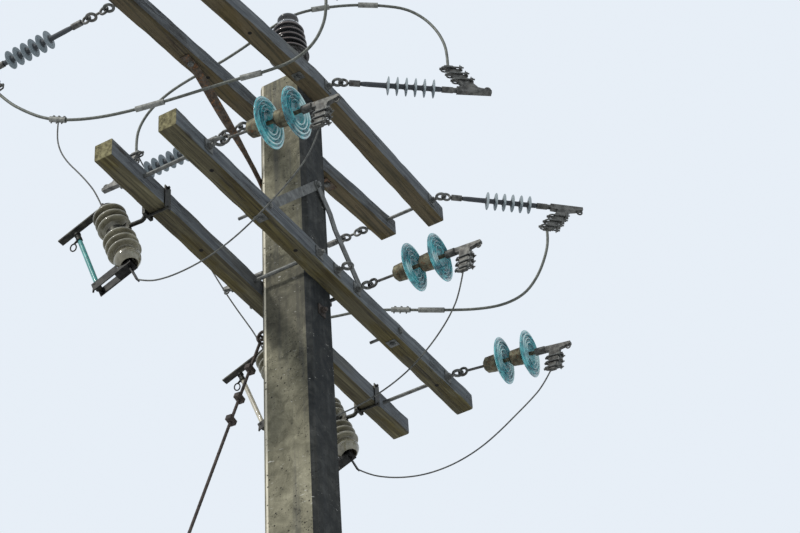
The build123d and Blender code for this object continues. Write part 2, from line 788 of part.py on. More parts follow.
def save_stay():
    """Stay wire, its grips and its anchor rod."""
    down = Vector(*stay_point(1000)) - Vector(*stay_point(0))
    top = ring_step + link_ring_r + link_bar_r + seat_gap
    bottom = stay_length - anchor_len
    save(rod(stay_point(top), stay_point(bottom), stay_wire_d / 2), "stay_wire")
    grips = []
    for along in stay_grip_at:
        plane = Plane(origin=stay_point(along), z_dir=down)
        grips.append(plane * (Box(52, 30, 28) - Cylinder(stay_wire_d / 2 + seat_gap, 60)))
    heading = math.radians(stay_heading)
    loop_plane = Plane(
        origin=stay_point(ring_step), x_dir=down, z_dir=(math.sin(heading), -math.cos(heading), 0)
    )
    thimble = loop_plane * Torus(link_ring_r, link_bar_r)
    save(Compound(children=[stay_bolt(), thimble] + grips), "stay_grips")
    anchor = rod(stay_point(bottom + seat_gap), stay_point(stay_length - anchor_plate_t / 2), 12)
    plate = Pos(*stay_point(stay_length)) * Pos(0, 0, anchor_plate_t / 2) * Cylinder(110, anchor_plate_t)
    buckle = rod(stay_point(bottom - 60), stay_point(bottom - seat_gap), 20)
    buckle -= rod(stay_point(bottom - 61), stay_point(bottom + 5), stay_wire_d / 2 + seat_gap)
    save(Compound(children=[anchor + plate, buckle]), "stay_anchor")


# Jumpers and leads
jumper_left_route = [
    (-1110, 1086, 9516),
    (-1088, 1020, 9420),
    (-1060, 925, 9325),
    (-1025, 815, 9240),
    (-985, 680, 9190),
    (-935, 530, 9170),
    (-885, 370, 9172),
    (-835, 200, 9185),
    (-785, 30, 9205),
    (-738, -140, 9222),
    (-697, -310, 9222),
    (-668, -450, 9240),
    (-660, -560, 9300),
    (-675, -635, 9390),
    (-698, -665, 9480),
    (-705, -669, 9545),
]
jumper_middle_route = [
    (0, 1019, 9870),
    (-3, 1022, 9960),
    (-6, 1000, 10060),
    (-8, 925, 10150),
    (-7, 800, 10215),
    (-6, 640, 10245),
    (-5, 460, 10255),
    (-3, 290, 10290),
    (0, 130, 10340),
    (5, 0, 10372),
    (45, -110, 10395),
    (110, -220, 10415),
    (180, -330, 10425),
    (255, -450, 10415),
    (325, -565, 10385),
    (372, -645, 10310),
    (392, -705, 10205),
    (398, -745, 10090),
    (395, -762, 9980),
    (390, -761, 9870),
]
jumper_right_route = [
    (1523, -724, 9545),
    (1530, -722, 9470),
    (1537, -690, 9370),
    (1535, -630, 9250),
    (1520, -545, 9150),
    (1490, -420, 9110),
    (1450, -270, 9122),
    (1405, -110, 9160),
    (1355, 60, 9205),
    (1305, 225, 9250),
    (1255, 385, 9275),
    (1210, 535, 9270),
    (1170, 675, 9290),
    (1135, 800, 9345),
    (1106, 890, 9420),
    (1086, 948, 9518),
]
left_top_lead_route = [
    (-1004, 745, 9206),
    (-998, 756, 9110),
    (-984, 740, 9012),
    (-968, 698, 8925),
    (-954, 640, 8842),
    (-941, 586, 8756),
    (-930, 543, 8674),
    (-921, 514, 8588),
]
middle_top_lead_route = [
    (8, 1030, 9905),
    (40, 1010, 9815),
    (78, 965, 9718),
    (116, 918, 9616),
    (154, 874, 9513),
    (193, 834, 9411),
    (231, 797, 9310),
    (268, 762, 9208),
    (304, 726, 9108),
    (338, 690, 9010),
    (371, 654, 8918),
    (402, 617, 8832),
    (431, 580, 8752),
    (455, 545, 8674),
    (469, 514, 8588),
]
right_top_lead_route = [
    (1106, 886, 9416),
    (1101, 858, 9320),
    (1090, 808, 9222),
    (1077, 750, 9128),
    (1064, 693, 9036),
    (1051, 642, 8942),
    (1038, 598, 8848),
    (1026, 560, 8756),
    (1016, 530, 8672),
    (1009, 514, 8588),
]
left_bottom_lead_route = [
    (-920, 288, 8030),
    (-923, 220, 7985),
    (-930, 125, 7955),
    (-940, 15, 7940),
    (-952, -100, 7938),
    (-965, -212, 7950),
    (-980, -322, 7975),
    (-996, -430, 8012),
    (-1012, -530, 8055),
    (-1030, -630, 8100),
    (-1052, -722, 8148),
    (-1070, -790, 8212),
    (-1084, -832, 8286),
]
middle_bottom_lead_route = [
    (470, 288, 8030),
    (466, 222, 7992),
    (455, 120, 7965),
    (438, 10, 7950),
    (417, -100, 7942),
    (393, -210, 7942),
    (367, -320, 7950),
    (340, -430, 7972),
    (312, -535, 8012),
    (283, -635, 8065),
    (255, -722, 8128),
    (226, -790, 8200),
    (202, -836, 8312),
]
right_bottom_lead_route = [
    (1010, 288, 8030),
    (1014, 225, 7975),
    (1024, 130, 7925),
    (1036, 25, 7890),
    (1049, -85, 7872),
    (1062, -198, 7875),
    (1075, -308, 7898),
    (1088, -412, 7940),
    (1100, -508, 7998),
    (1111, -600, 8065),
    (1121, -690, 8130),
    (1129, -768, 8196),
    (1134, -826, 8286),
]
sleeve_wall = 7.0
sleeve_ease = 0.8
sleeves = (
    (jumper_left_route, 3, 90.0),
    (jumper_left_route, 6, 150.0),
    (jumper_left_route, 9, 110.0),
    (jumper_middle_route, 5, 90.0),
    (jumper_middle_route, 10, 100.0),
    (jumper_middle_route, 12, 110.0),
    (jumper_right_route, 7, 150.0),
    (jumper_right_route, 8, 110.0),
)


def sleeve(route, run, length):
    """Tube round a jumper at the middle of one of its runs."""
    a = Vector(*route[run])
    b = Vector(*route[run + 1])
    middle = (a + b) / 2
    way = (b - a).normalized()
    outer = rod(middle - way * (length / 2), middle + way * (length / 2), jumper_d / 2 + sleeve_wall)
    return outer - rod(middle - way * length, middle + way * length, jumper_d / 2 + sleeve_ease)


def save_cords():
    """Jumpers, leads and the connectors on the jumpers."""
    for name, route, diameter in (
        ("jumper_left", jumper_left_route, jumper_d),
        ("jumper_middle", jumper_middle_route, jumper_d),
        ("jumper_right", jumper_right_route, jumper_d),
        ("left_top_lead", left_top_lead_route, lead_d),
        ("middle_top_lead", middle_top_lead_route, lead_d),
        ("right_top_lead", right_top_lead_route, lead_d),
        ("left_bottom_lead", left_bottom_lead_route, lead_d),
        ("middle_bottom_lead", middle_bottom_lead_route, lead_d),
        ("right_bottom_lead", right_bottom_lead_route, lead_d),
    ):
        save(cord(name, route, diameter), name)
    save(Compound(children=[sleeve(*one) for one in sleeves]), "jumper_sleeves")


save_pole()
save_arms()
save_bolts()
save_braces()
save_spool()
save_pin_insulator()
save_polymer_sets()
save_glass_sets()
save_fuses()
save_stay()
save_cords()
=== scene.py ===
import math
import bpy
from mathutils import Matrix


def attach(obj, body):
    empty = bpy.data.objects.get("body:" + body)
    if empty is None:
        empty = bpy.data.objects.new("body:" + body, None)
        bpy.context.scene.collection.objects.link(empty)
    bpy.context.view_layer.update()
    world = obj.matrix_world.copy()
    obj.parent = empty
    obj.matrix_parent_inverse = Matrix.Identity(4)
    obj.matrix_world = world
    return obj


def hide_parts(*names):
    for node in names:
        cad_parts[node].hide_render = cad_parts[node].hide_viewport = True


bl_info = {
    "name": "Concrete utility pole",
    "version": (1, 0, 0),
    "blender": (4, 5, 0),
    "location": "View3D > Sidebar > Pole",
    "description": "Dresses the packed utility pole with weathered finishes, cords and line hardware",
    "category": "Object",
}

import bpy
import numpy as np
from mathutils import Matrix

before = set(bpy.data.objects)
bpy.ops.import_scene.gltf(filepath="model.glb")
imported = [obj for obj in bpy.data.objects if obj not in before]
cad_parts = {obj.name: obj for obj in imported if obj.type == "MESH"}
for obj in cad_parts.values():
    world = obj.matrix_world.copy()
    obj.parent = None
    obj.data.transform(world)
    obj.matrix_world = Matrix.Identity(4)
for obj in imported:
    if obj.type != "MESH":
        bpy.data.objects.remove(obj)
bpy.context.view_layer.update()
BODY = "structure"
MM = 0.001


# Shader building
def joins(operation, flipped=False):
    """Method that joins a socket and another value by a Math node of this operation."""
    return lambda self, other: self.math(operation, (other, self) if flipped else (self, other))


class Value:
    """A shader socket that takes part in ordinary sums."""

    __add__, __radd__ = joins("ADD"), joins("ADD", True)
    __sub__, __rsub__ = joins("SUBTRACT"), joins("SUBTRACT", True)
    __mul__, __rmul__ = joins("MULTIPLY"), joins("MULTIPLY", True)
    __pow__, __rpow__ = joins("POWER"), joins("POWER", True)
    least, most = joins("MINIMUM"), joins("MAXIMUM")

    def __init__(self, nodes, socket):
        self.nodes = nodes
        self.socket = socket

    def math(self, operation, terms):
        return self.nodes.node("ShaderNodeMath", {"operation": operation}, dict(enumerate(terms)))

    def apply(self, operation):
        return self.math(operation, (self,))

    def rise(self, low, high):
        """0 below low and 1 above high, smooth between."""
        settings = {"interpolation_type": "SMOOTHSTEP"}
        inputs = {0: self, 1: low, 2: high, 3: 0.0, 4: 1.0}
        return self.nodes.node("ShaderNodeMapRange", settings, inputs)


class Nodes:
    """A node tree, and the one method that adds its nodes."""

    def __init__(self, tree):
        self.tree = tree
        tree.nodes.clear()

    def node(self, kind, settings=None, inputs=None, out=0):
        made = self.tree.nodes.new(kind)
        for key, value in (settings or {}).items():
            if key == "stops":
                self.set_stops(made.color_ramp, value)
            else:
                setattr(made, key, value)
        for key, value in (inputs or {}).items():
            if isinstance(value, Value):
                self.tree.links.new(value.socket, made.inputs[key])
            else:
                made.inputs[key].default_value = value
        return Value(self, made.outputs[out]) if made.outputs else None

    @staticmethod
    def set_stops(ramp, stops):
        while len(ramp.elements) > len(stops):
            ramp.elements.remove(ramp.elements[-1])
        while len(ramp.elements) < len(stops):
            ramp.elements.new(1.0)
        for element, (position, colour) in zip(ramp.elements, stops):
            element.position = position
            element.color = (*colour, 1.0)


class Finish(Nodes):
    """A material, with a short form for each node that the finishes use."""

    def __init__(self, name):
        self.material = bpy.data.materials.new(name)
        self.material.use_nodes = True
        super().__init__(self.material.node_tree)
        self.place = self.node("ShaderNodeTexCoord", out="Object")

    def part(self, axis, source=None):
        return self.node("ShaderNodeSeparateXYZ", None, {0: source or self.place}, axis)

    def facing(self, axis):
        """How far the surface faces along an axis."""
        return self.part(axis, self.node("ShaderNodeNewGeometry", out="Normal"))

    def field(self, name):
        """Number kept at each point of the mesh."""
        return self.node("ShaderNodeAttribute", {"attribute_name": name}, out="Fac")

    def scaled(self, factors):
        inputs = {0: self.place, 1: factors}
        return self.node("ShaderNodeVectorMath", {"operation": "MULTIPLY"}, inputs)

    def noise(self, scale, detail=4.0, rough=0.55, source=None, twist=0.0):
        inputs = {
            "Vector": source or self.place,
            "Scale": scale,
            "Detail": detail,
            "Roughness": rough,
            "Distortion": twist,
        }
        return self.node("ShaderNodeTexNoise", None, inputs)

    def streaks(self, factors, detail, rough, twist=0.0):
        """Noise with a scale of its own along each axis."""
        return self.noise(1.0, detail, rough, self.scaled(factors), twist)

    def spots(self, scale, low, high, source=None):
        """1 in the middle of each cell of a random pattern, and 0 past the high distance from it."""
        inputs = {"Vector": source or self.place, "Scale": scale}
        return 1.0 - self.node("ShaderNodeTexVoronoi", None, inputs).rise(low, high)

    def ramp(self, value, stops):
        return self.node("ShaderNodeValToRGB", {"stops": stops}, {0: value})

    def mix(self, low, high, share):
        tones = [tone if isinstance(tone, Value) else (*tone, 1.0) for tone in (low, high)]
        inputs = {0: share, 6: tones[0], 7: tones[1]}
        return self.node("ShaderNodeMix", {"data_type": "RGBA"}, inputs, 2)

    def bump(self, height, depth, strength):
        inputs = {"Height": height, "Distance": depth, "Strength": strength}
        return self.node("ShaderNodeBump", None, inputs)

    def layers(self, colour, *layers):
        """Colour under several layers, each a tone and the share of it that shows."""
        for tone, share in layers:
            colour = self.mix(colour, tone, share)
        return colour

    def close(self, colour, rough, relief=None, others=None):
        """The material, with a relief from a height and the bump's depth and strength."""
        sockets = {"Base Color": colour, "Roughness": rough, **(others or {})}
        if relief:
            sockets["Normal"] = self.bump(*relief)
        shader = self.node("ShaderNodeBsdfPrincipled", None, sockets)
        self.node("ShaderNodeOutputMaterial", None, {0: shader})
        return self.material


# Undersides of the two pairs of arms, and the outer faces of the lower pair, in millimetres
LOWER_ARM, UPPER_ARM = 8400.0, 9656.0
LOWER_FRONT = -190.2
# Spare bolt holes seen under the arms: x, y and arm bottom
SPARE_HOLES = (
    (-1006.0, LOWER_FRONT, LOWER_ARM),
    (-298.0, LOWER_FRONT, LOWER_ARM),
    (1059.0, LOWER_FRONT, LOWER_ARM),
    (-559.0, 183.2, LOWER_ARM),
    (-456.0, 216.9, UPPER_ARM),
    (-604.0, -146.6, UPPER_ARM),
)
# Where the sunlit face turns into its far chamfer, in metres from the pole's middle; the painted sunlit
# strip starts here
EDGE_AT_GROUND, EDGE_TAPER = 0.145, 0.00475
# Height of the painted shadow band round the pole, just under the lower arms
ARM_SHADOW_HEIGHT = 8.27


# Finishes
def concrete_finish():
    """Cast concrete: mottled, pitted and scratched, dark with painted shade on its shaded face, with a
    painted shadow band under the lower arms and a cream painted sunlit strip on one chamfer.
    """
    f = Finish("weathered_concrete")
    height = f.part(2)
    broad = f.noise(2.2, 5.0, 0.6)
    middle = f.noise(14.0, 6.0, 0.65, twist=0.6)
    fine = f.noise(120.0, 4.0, 0.7)
    grit = f.noise(420.0, 2.0, 0.6)
    streak = f.streaks((24.0, 24.0, 0.9), 5.0, 0.6)
    colour = f.ramp(broad * 0.4 + middle * 0.4 + grit * 0.2, [
        (0.38, (0.052, 0.049, 0.034)),
        (0.46, (0.13, 0.124, 0.086)),
        (0.54, (0.208, 0.198, 0.14)),
        (0.64, (0.33, 0.315, 0.23)),
    ])
    away = (height - ARM_SHADOW_HEIGHT).apply("ABSOLUTE") + (middle - 0.5) * 0.5
    lift = (streak * 0.5 + middle * 0.5).rise(0.44, 0.68)
    edge = f.part(1) - (EDGE_AT_GROUND - EDGE_TAPER * height)
    cream = edge.rise(0.0, 0.004) * (0.0 - f.facing(0)).rise(0.85, 0.95)
    pit = f.spots(85.0, 0.1, 0.3) * f.noise(9.0, 3.0).rise(0.48, 0.6)
    hole = f.spots(30.0, 0.08, 0.17) * f.noise(4.0, 2.0).rise(0.46, 0.56)
    scratch = f.streaks((26.0, 26.0, 130.0), 3.0, 0.6, 0.7).rise(0.655, 0.7)
    scratch = scratch * f.noise(5.0, 3.0).rise(0.52, 0.62)
    colour = f.layers(
        colour,
        ((0.06, 0.062, 0.06), streak.rise(0.5, 0.7) * 0.6),
        # Painted shadow of the lower arms: a dark band round the pole just under them
        ((0.034, 0.033, 0.028), (1.0 - away.rise(0.05, 0.42)) * 0.62),
        # Painted shade: the face that looks along -Y, away from the sun, darkened almost to black
        (
            f.mix((0.008, 0.011, 0.014), (0.046, 0.05, 0.052), lift),
            (0.0 - f.facing(1)).rise(0.5, 0.72) * 0.93,
        ),
        # Painted sunlight: a cream strip at the far chamfer of the sunlit face
        ((0.74, 0.7, 0.57), cream * (0.6 + middle * 0.4)),
        ((0.02, 0.019, 0.016), pit.most(hole) * 0.9),
        ((0.52, 0.52, 0.49), scratch * 0.8),
    )
    relief = middle * 0.5 + fine * 0.25 + grit * 0.12 - pit * 0.9 - hole * 1.6
    rough = 0.86 + (fine - 0.5) * 0.2
    return f.close(colour, rough, (relief, 0.004, 0.9), {"Specular IOR Level": 0.3})


def timber_finish():
    """Sawn treated timber: grain along X, grey weathered sides, an olive underside whose darkness is
    partly painted shade, pale end grain.
    """
    f = Finish("weathered_timber")
    grain = f.streaks((1.6, 42.0, 42.0), 6.0, 0.62, 1.1)
    fibre = f.streaks((5.0, 260.0, 260.0), 5.0, 0.6)
    check = f.streaks((1.3, 75.0, 75.0), 3.0, 0.5, 0.5)
    check = 1.0 - (check - 0.5).apply("ABSOLUTE").rise(0.004, 0.022)
    check = check * f.noise(2.3, 3.0).rise(0.46, 0.58)
    down = (0.0 - f.facing(2)).rise(0.3, 0.7)
    end = f.facing(0).apply("ABSOLUTE").rise(0.55, 0.8)
    olive = f.ramp(grain * 0.7 + fibre * 0.3, [
        (0.3, (0.02, 0.014, 0.005)),
        (0.46, (0.058, 0.046, 0.017)),
        (0.58, (0.104, 0.088, 0.036)),
        (0.74, (0.2, 0.178, 0.09)),
    ])
    grey = f.ramp(grain * 0.65 + fibre * 0.35, [
        (0.28, (0.04, 0.046, 0.052)),
        (0.48, (0.108, 0.121, 0.132)),
        (0.62, (0.18, 0.198, 0.21)),
        (0.78, (0.3, 0.32, 0.325)),
    ])
    patch = f.streaks((2.2, 9.0, 9.0), 4.0, 0.6).rise(0.5, 0.7)
    stain = f.streaks((3.1, 6.0, 6.0), 4.0, 0.6).rise(0.56, 0.72)
    cut = f.ramp(f.streaks((20.0, 55.0, 55.0), 5.0, 0.6), [
        (0.36, (0.085, 0.075, 0.036)),
        (0.5, (0.165, 0.15, 0.078)),
        (0.66, (0.25, 0.23, 0.125)),
    ])
    knot = f.spots(1.0, 0.05, 0.16, f.scaled((3.0, 11.0, 11.0))) * (1.0 - end)
    knot = knot * f.noise(1.7, 2.0).rise(0.5, 0.56)
    high = (f.part(2) - 9.0).rise(0.0, 0.2)
    colour = f.layers(
        grey,
        # Olive underside: partly the wood's own tone, partly painted shade that makes it darker than the
        # sides
        (olive, (down * 0.85 + patch * 0.35).least(1.0)),
        ((0.045, 0.04, 0.03), stain * 0.45),
        (cut, end),
        ((0.03, 0.022, 0.014), knot * 0.7),
        ((0.022, 0.02, 0.018), check * 0.85),
        ((0.105, 0.072, 0.04), high * down * grain.rise(0.35, 0.65) * 0.55),
    )
    for x, y, z in SPARE_HOLES:
        off_x = (f.part(0) - x * MM) ** 2.0
        off_y = (f.part(1) - y * MM) ** 2.0
        level = 1.0 - (f.part(2) - z * MM).apply("ABSOLUTE").rise(0.06, 0.07)
        spot = (1.0 - (off_x + off_y).apply("SQRT").rise(0.0095, 0.0125)) * level
        colour = f.mix(colour, (0.006, 0.005, 0.004), spot)
    relief = grain * 0.5 + fibre * 0.35 - check * 1.5 + knot * 0.3
    rough = 0.82 + (fibre - 0.5) * 0.2
    return f.close(colour, rough, (relief, 0.0025, 0.9), {"Specular IOR Level": 0.25})


def metal_finish(name, bright, dark, rust_share, gloss):
    """Weathered metal: grainy, dulled, with rust where a noise is high, more of it for a greater share."""
    f = Finish(name)
    broad = f.noise(34.0, 4.0, 0.6)
    grain = f.noise(260.0, 4.0, 0.7)
    colour = f.mix(dark, bright, (broad * 0.7 + grain * 0.3).rise(0.38, 0.62))
    rust = f.noise(60.0, 6.0, 0.7, twist=0.8) * 0.75 + grain * 0.25
    rust = rust.rise(0.66 - rust_share, 0.74 - rust_share)
    tone = f.ramp(f.noise(110.0, 4.0), [
        (0.35, (0.06, 0.026, 0.012)),
        (0.52, (0.17, 0.075, 0.028)),
        (0.7, (0.3, 0.155, 0.062)),
    ])
    colour = f.mix(colour, tone, rust)
    rough = gloss + rust * (0.9 - gloss) + (grain - 0.5) * 0.15
    relief = (grain * 0.5 + rust * 0.6, 0.0006, 0.8)
    return f.close(colour, rough, relief, {"Metallic": 0.75 - rust * 0.7})


def glaze_finish(name, stops, rim, grime_and_shade):
    """Glazed ceramic: colour by broad noise, rim tone by the edge field, and a dark tone for soiling from
    noise and for painted shade by the deep field.
    """
    f = Finish(name)
    colour = f.ramp(f.noise(11.0, 4.0, 0.6), stops)
    # Soiling from noise, and painted shade from the deep field between the sheds and in the hollow
    dirt_and_shade = (f.noise(38.0, 5.0, 0.7).rise(0.45, 0.72) * 0.35 + f.field("deep") * 0.75).least(1.0)
    colour = f.layers(colour, (rim, f.field("edge").rise(0.55, 0.95) * 0.6), (grime_and_shade, dirt_and_shade))
    coat = {"Coat Weight": (1.0 - dirt_and_shade) * 0.9, "Coat Roughness": 0.08}
    return f.close(colour, 0.16 + dirt_and_shade * 0.45, (f.noise(90.0, 3.0), 0.0005, 0.5), coat)


def shed_finish():
    """Silicone sheds and sheath: pale matt sheds on a darker rod, the rod and shed roots darkened by
    painted shade between the sheds, with dust.
    """
    f = Finish("silicone_sheds")
    dust = f.noise(70.0, 5.0, 0.65)
    rod = f.mix((0.018, 0.023, 0.029), (0.055, 0.063, 0.072), dust)
    shed = f.mix((0.165, 0.205, 0.23), (0.35, 0.41, 0.44), dust)
    # Painted shade between the sheds: dark on the rod, fading out up the shed roots
    colour = f.mix(rod, shed, f.field("edge").rise(0.12, 0.35))
    return f.close(colour, 0.55 + dust * 0.25, (dust, 0.0004, 0.5))


def glass_finish():
    """Toughened glass: deep blue green in broad patches, pale with painted highlights where the edge field
    is high.
    """
    f = Finish("blue_green_glass")
    rib = f.field("edge")
    colour = f.ramp(f.noise(16.0, 3.0, 0.5, twist=1.5), [
        (0.34, (0.004, 0.085, 0.115)),
        (0.47, (0.017, 0.25, 0.3)),
        (0.6, (0.1, 0.5, 0.54)),
    ])
    # Painted highlights from the edge field
    colour = f.mix(colour, (0.74, 0.97, 0.96), rib.rise(0.25, 0.95) * 0.85)
    clear = {"Alpha": 0.84 + rib * 0.14, "Coat Weight": 0.8, "Coat Roughness": 0.04}
    return f.close(colour, 0.12, None, clear)


def plain_finish(name, low, high, scale, rough, coat=0.0, metal=0.0):
    """Two tones mixed by noise, with a fine grain in the surface."""
    f = Finish(name)
    grain = f.noise(scale * 9.0, 3.0, 0.6)
    colour = f.mix(low, high, f.noise(scale, 5.0, 0.65).rise(0.32, 0.68))
    others = {"Metallic": metal, "Coat Weight": coat}
    return f.close(colour, rough + (grain - 0.5) * 0.2, (grain, 0.0005, 0.6), others)


# Bright and dark tone, share of rust and roughness
METALS = {
    "galvanised": ("galvanised_steel", (0.175, 0.18, 0.172), (0.085, 0.088, 0.084), 0.05, 0.6),
    "rusty": ("rusty_iron", (0.2, 0.185, 0.125), (0.055, 0.049, 0.034), 0.12, 0.65),
    "old_iron": ("old_iron", (0.135, 0.135, 0.125), (0.045, 0.045, 0.043), 0.07, 0.6),
    "brown_bar": ("brown_bar", (0.135, 0.11, 0.085), (0.055, 0.042, 0.032), 0.14, 0.7),
    "aluminium": ("cast_aluminium", (0.155, 0.155, 0.145), (0.05, 0.05, 0.047), 0.06, 0.55),
    "bronze": ("dark_bronze", (0.038, 0.038, 0.03), (0.008, 0.008, 0.008), 0.06, 0.45),
    "black_casting": ("black_casting", (0.022, 0.022, 0.021), (0.005, 0.005, 0.005), 0.05, 0.45),
}
# Two tones, scale of the noise between them, roughness, coat and metallic share
PLAIN = {
    "rubber": ("black_rubber", (0.008, 0.008, 0.01), (0.03, 0.03, 0.033), 40.0, 0.55),
    "green_tube": ("green_tube", (0.012, 0.155, 0.15), (0.045, 0.3, 0.28), 30.0, 0.28, 0.6),
    "cream_tube": ("cream_tube", (0.36, 0.33, 0.25), (0.56, 0.53, 0.42), 30.0, 0.35, 0.4),
    "conductor": ("old_conductor", (0.072, 0.078, 0.068), (0.145, 0.153, 0.136), 60.0, 0.55, 0.0, 0.5),
    "lead": ("old_lead", (0.045, 0.047, 0.045), (0.12, 0.125, 0.115), 60.0, 0.6, 0.0, 0.3),
    "stay": ("stay_strand", (0.03, 0.024, 0.022), (0.085, 0.068, 0.058), 50.0, 0.7, 0.0, 0.4),
    "sleeve": ("pale_sleeve", (0.135, 0.138, 0.125), (0.27, 0.275, 0.255), 45.0, 0.55, 0.0, 0.4),
}
# Tones with their places on the ramp, then the tone of rims and the dark tone of soiling and painted shade
GLAZES = {
    "porcelain": (
        "stone_glaze",
        [(0.3, (0.1, 0.092, 0.062)), (0.5, (0.185, 0.173, 0.122)), (0.72, (0.32, 0.305, 0.225))],
        (0.52, 0.51, 0.43),
        (0.045, 0.04, 0.028),
    ),
    "dark_glaze": (
        "black_brown_glaze",
        [(0.3, (0.006, 0.006, 0.008)), (0.6, (0.012, 0.011, 0.012)), (0.8, (0.02, 0.017, 0.015))],
        (0.16, 0.09, 0.06),
        (0.006, 0.006, 0.006),
    ),
}
FINISHES = {}


def make_finishes():
    """Every finish once, by its key."""
    for rows, finish in ((METALS, metal_finish), (PLAIN, plain_finish), (GLAZES, glaze_finish)):
        FINISHES.update((key, finish(*values)) for key, values in rows.items())
    FINISHES.update(concrete=concrete_finish(), timber=timber_finish())
    FINISHES.update(sheds=shed_finish(), glass=glass_finish())


# Surfaces: a shape is its points and its groups of faces, each group with one number of corners
def linked(name, data, place=None):
    """Object in the scene, at the origin or in the frame given."""
    made = bpy.data.objects.new(name, data)
    if place is not None:
        made.matrix_world = Matrix(place.tolist())
    bpy.context.scene.collection.objects.link(made)
    return made


def quads(rows, around, closed=False):
    """Corner numbers of the quads between rings of points, and from the last to the first if closed."""
    row = np.arange(rows if closed else rows - 1)[:, None] * around
    column = np.arange(around)[None, :]
    near, after = row + column, row + (column + 1) % around
    return np.stack([near, after, after + around, near + around], -1).reshape(-1, 4) % (rows * around)


def piece(name, shape, finish, smooth=True, fields=None, body=BODY):
    """Mesh of a shape, with its finish and body and a number at each point for every field."""
    points, groups = shape
    mesh = bpy.data.meshes.new(name)
    corners = np.concatenate([np.asarray(group, np.int32).ravel() for group in groups])
    counts = np.concatenate([np.full(len(group), np.shape(group)[1], np.int32) for group in groups])
    mesh.vertices.add(len(points))
    mesh.vertices.foreach_set("co", np.asarray(points, np.float32).ravel())
    mesh.loops.add(len(corners))
    mesh.loops.foreach_set("vertex_index", corners)
    mesh.polygons.add(len(counts))
    mesh.polygons.foreach_set("loop_start", (np.cumsum(counts) - counts).astype(np.int32))
    mesh.polygons.foreach_set("use_smooth", np.full(len(counts), smooth))
    mesh.update(calc_edges=True)
    mesh.validate()
    for field, values in (fields or {}).items():
        layer = mesh.attributes.new(field, "FLOAT", "POINT")
        layer.data.foreach_set("value", np.asarray(values, np.float32))
    made = linked(name, mesh)
    mesh.materials.append(FINISHES[finish])
    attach(made, body)
    return made


def unit(vectors):
    """The same directions, each with a length of 1."""
    return vectors / np.linalg.norm(vectors, axis=-1, keepdims=True)


def angles(around):
    """Equal steps of a full turn, in radians."""
    return np.linspace(0, 2 * np.pi, around, endpoint=False)


def rounded(profile, passes=2):
    """Open line with its corners cut at 22 and 78 hundredths of each run, several times."""
    line = np.asarray(profile, float)
    for _ in range(passes):
        near = line[:-1] * 0.78 + line[1:] * 0.22
        far = line[:-1] * 0.22 + line[1:] * 0.78
        middle = np.stack([near, far], 1).reshape(-1, line.shape[1])
        line = np.vstack([line[:1], middle, line[-1:]])
    return line


def moved(shape, place):
    """A shape taken from a local frame to the world's."""
    points, faces = shape
    return points @ place[:3, :3].T + place[:3, 3], faces


def turned(profile, place, around, closed=False):
    """Profile of (along, radius) in millimetres turned about local X: y = r cos a and z = r sin a."""
    line, angle = np.asarray(profile) * MM, angles(around)
    along = np.repeat(line[:, :1], around, 1)
    radius = line[:, 1:]
    local = np.stack([along, radius * np.cos(angle), radius * np.sin(angle)], -1).reshape(-1, 3)
    return moved((local, [quads(len(line), around, closed)]), place)


def capped(skin, middles, around):
    """Rings of points closed at both ends by fans of triangles round these two middles."""
    rows = len(skin) // around
    number = np.arange(around)
    after = (number + 1) % around
    last, centre = (rows - 1) * around, np.full(around, rows * around)
    low = np.stack([after, number, centre], 1)
    high = np.stack([last + number, last + after, centre + 1], 1)
    return np.vstack([skin, middles]), [quads(rows, around), low, high]


def joined(shapes):
    """Several shapes as one."""
    points, faces, start = [], [], 0
    for some, groups in shapes:
        points.append(some)
        faces += [np.asarray(group) + start for group in groups]
        start += len(some)
    return np.vstack(points), faces


def block(low, high, place):
    """Box between two corners of a local frame, in millimetres."""
    low, high = np.array(low) * MM, np.array(high) * MM
    corner = np.array([[x, y, z] for x in (0, 1) for y in (0, 1) for z in (0, 1)], float)
    faces = np.array([[0, 1, 3, 2], [4, 6, 7, 5], [0, 4, 5, 1], [2, 3, 7, 6], [0, 2, 6, 4], [1, 5, 7, 3]])
    return moved((low + corner * (high - low), [faces]), place)


def uneven(points, seed, scale):
    """Smooth value about 0 at each point: twelve sines of random direction and phase, added up."""
    chance = np.random.default_rng(seed)
    ways = chance.normal(size=(12, 3)) * scale
    shift = chance.uniform(0, 2 * np.pi, 12)
    return np.sin(points @ ways.T + shift).sum(1) / 3.5


def frame_of(x, y, z, origin):
    """Matrix of the frame with these axes and this origin, in metres."""
    place = np.eye(4)
    place[:3] = np.column_stack([x, y, z, origin])
    return place


def set_place(origin, heading, slope=0.0):
    """Frame of a tension set: X along it, Z up, origin in millimetres."""
    h, s = math.radians(heading), math.radians(slope)
    x = np.array([math.cos(h) * math.cos(s), math.sin(h) * math.cos(s), math.sin(s)])
    z = np.array([-math.cos(h) * math.sin(s), -math.sin(h) * math.sin(s), math.cos(s)])
    return frame_of(x, np.cross(z, x), z, np.array(origin) * MM)


def upright_place(origin, tilt=0.0):
    """Frame of an upright turned piece: X up, tilted outward about the world's X axis."""
    t = math.radians(tilt)
    x, y = [0.0, math.sin(t), math.cos(t)], [1.0, 0.0, 0.0]
    return frame_of(x, y, np.cross(x, y), np.array(origin) * MM)


# Sizes and places shared with the part's source, in millimetres and degrees
SETS_Z, STRINGS_Z = 9706.0, 8450.0
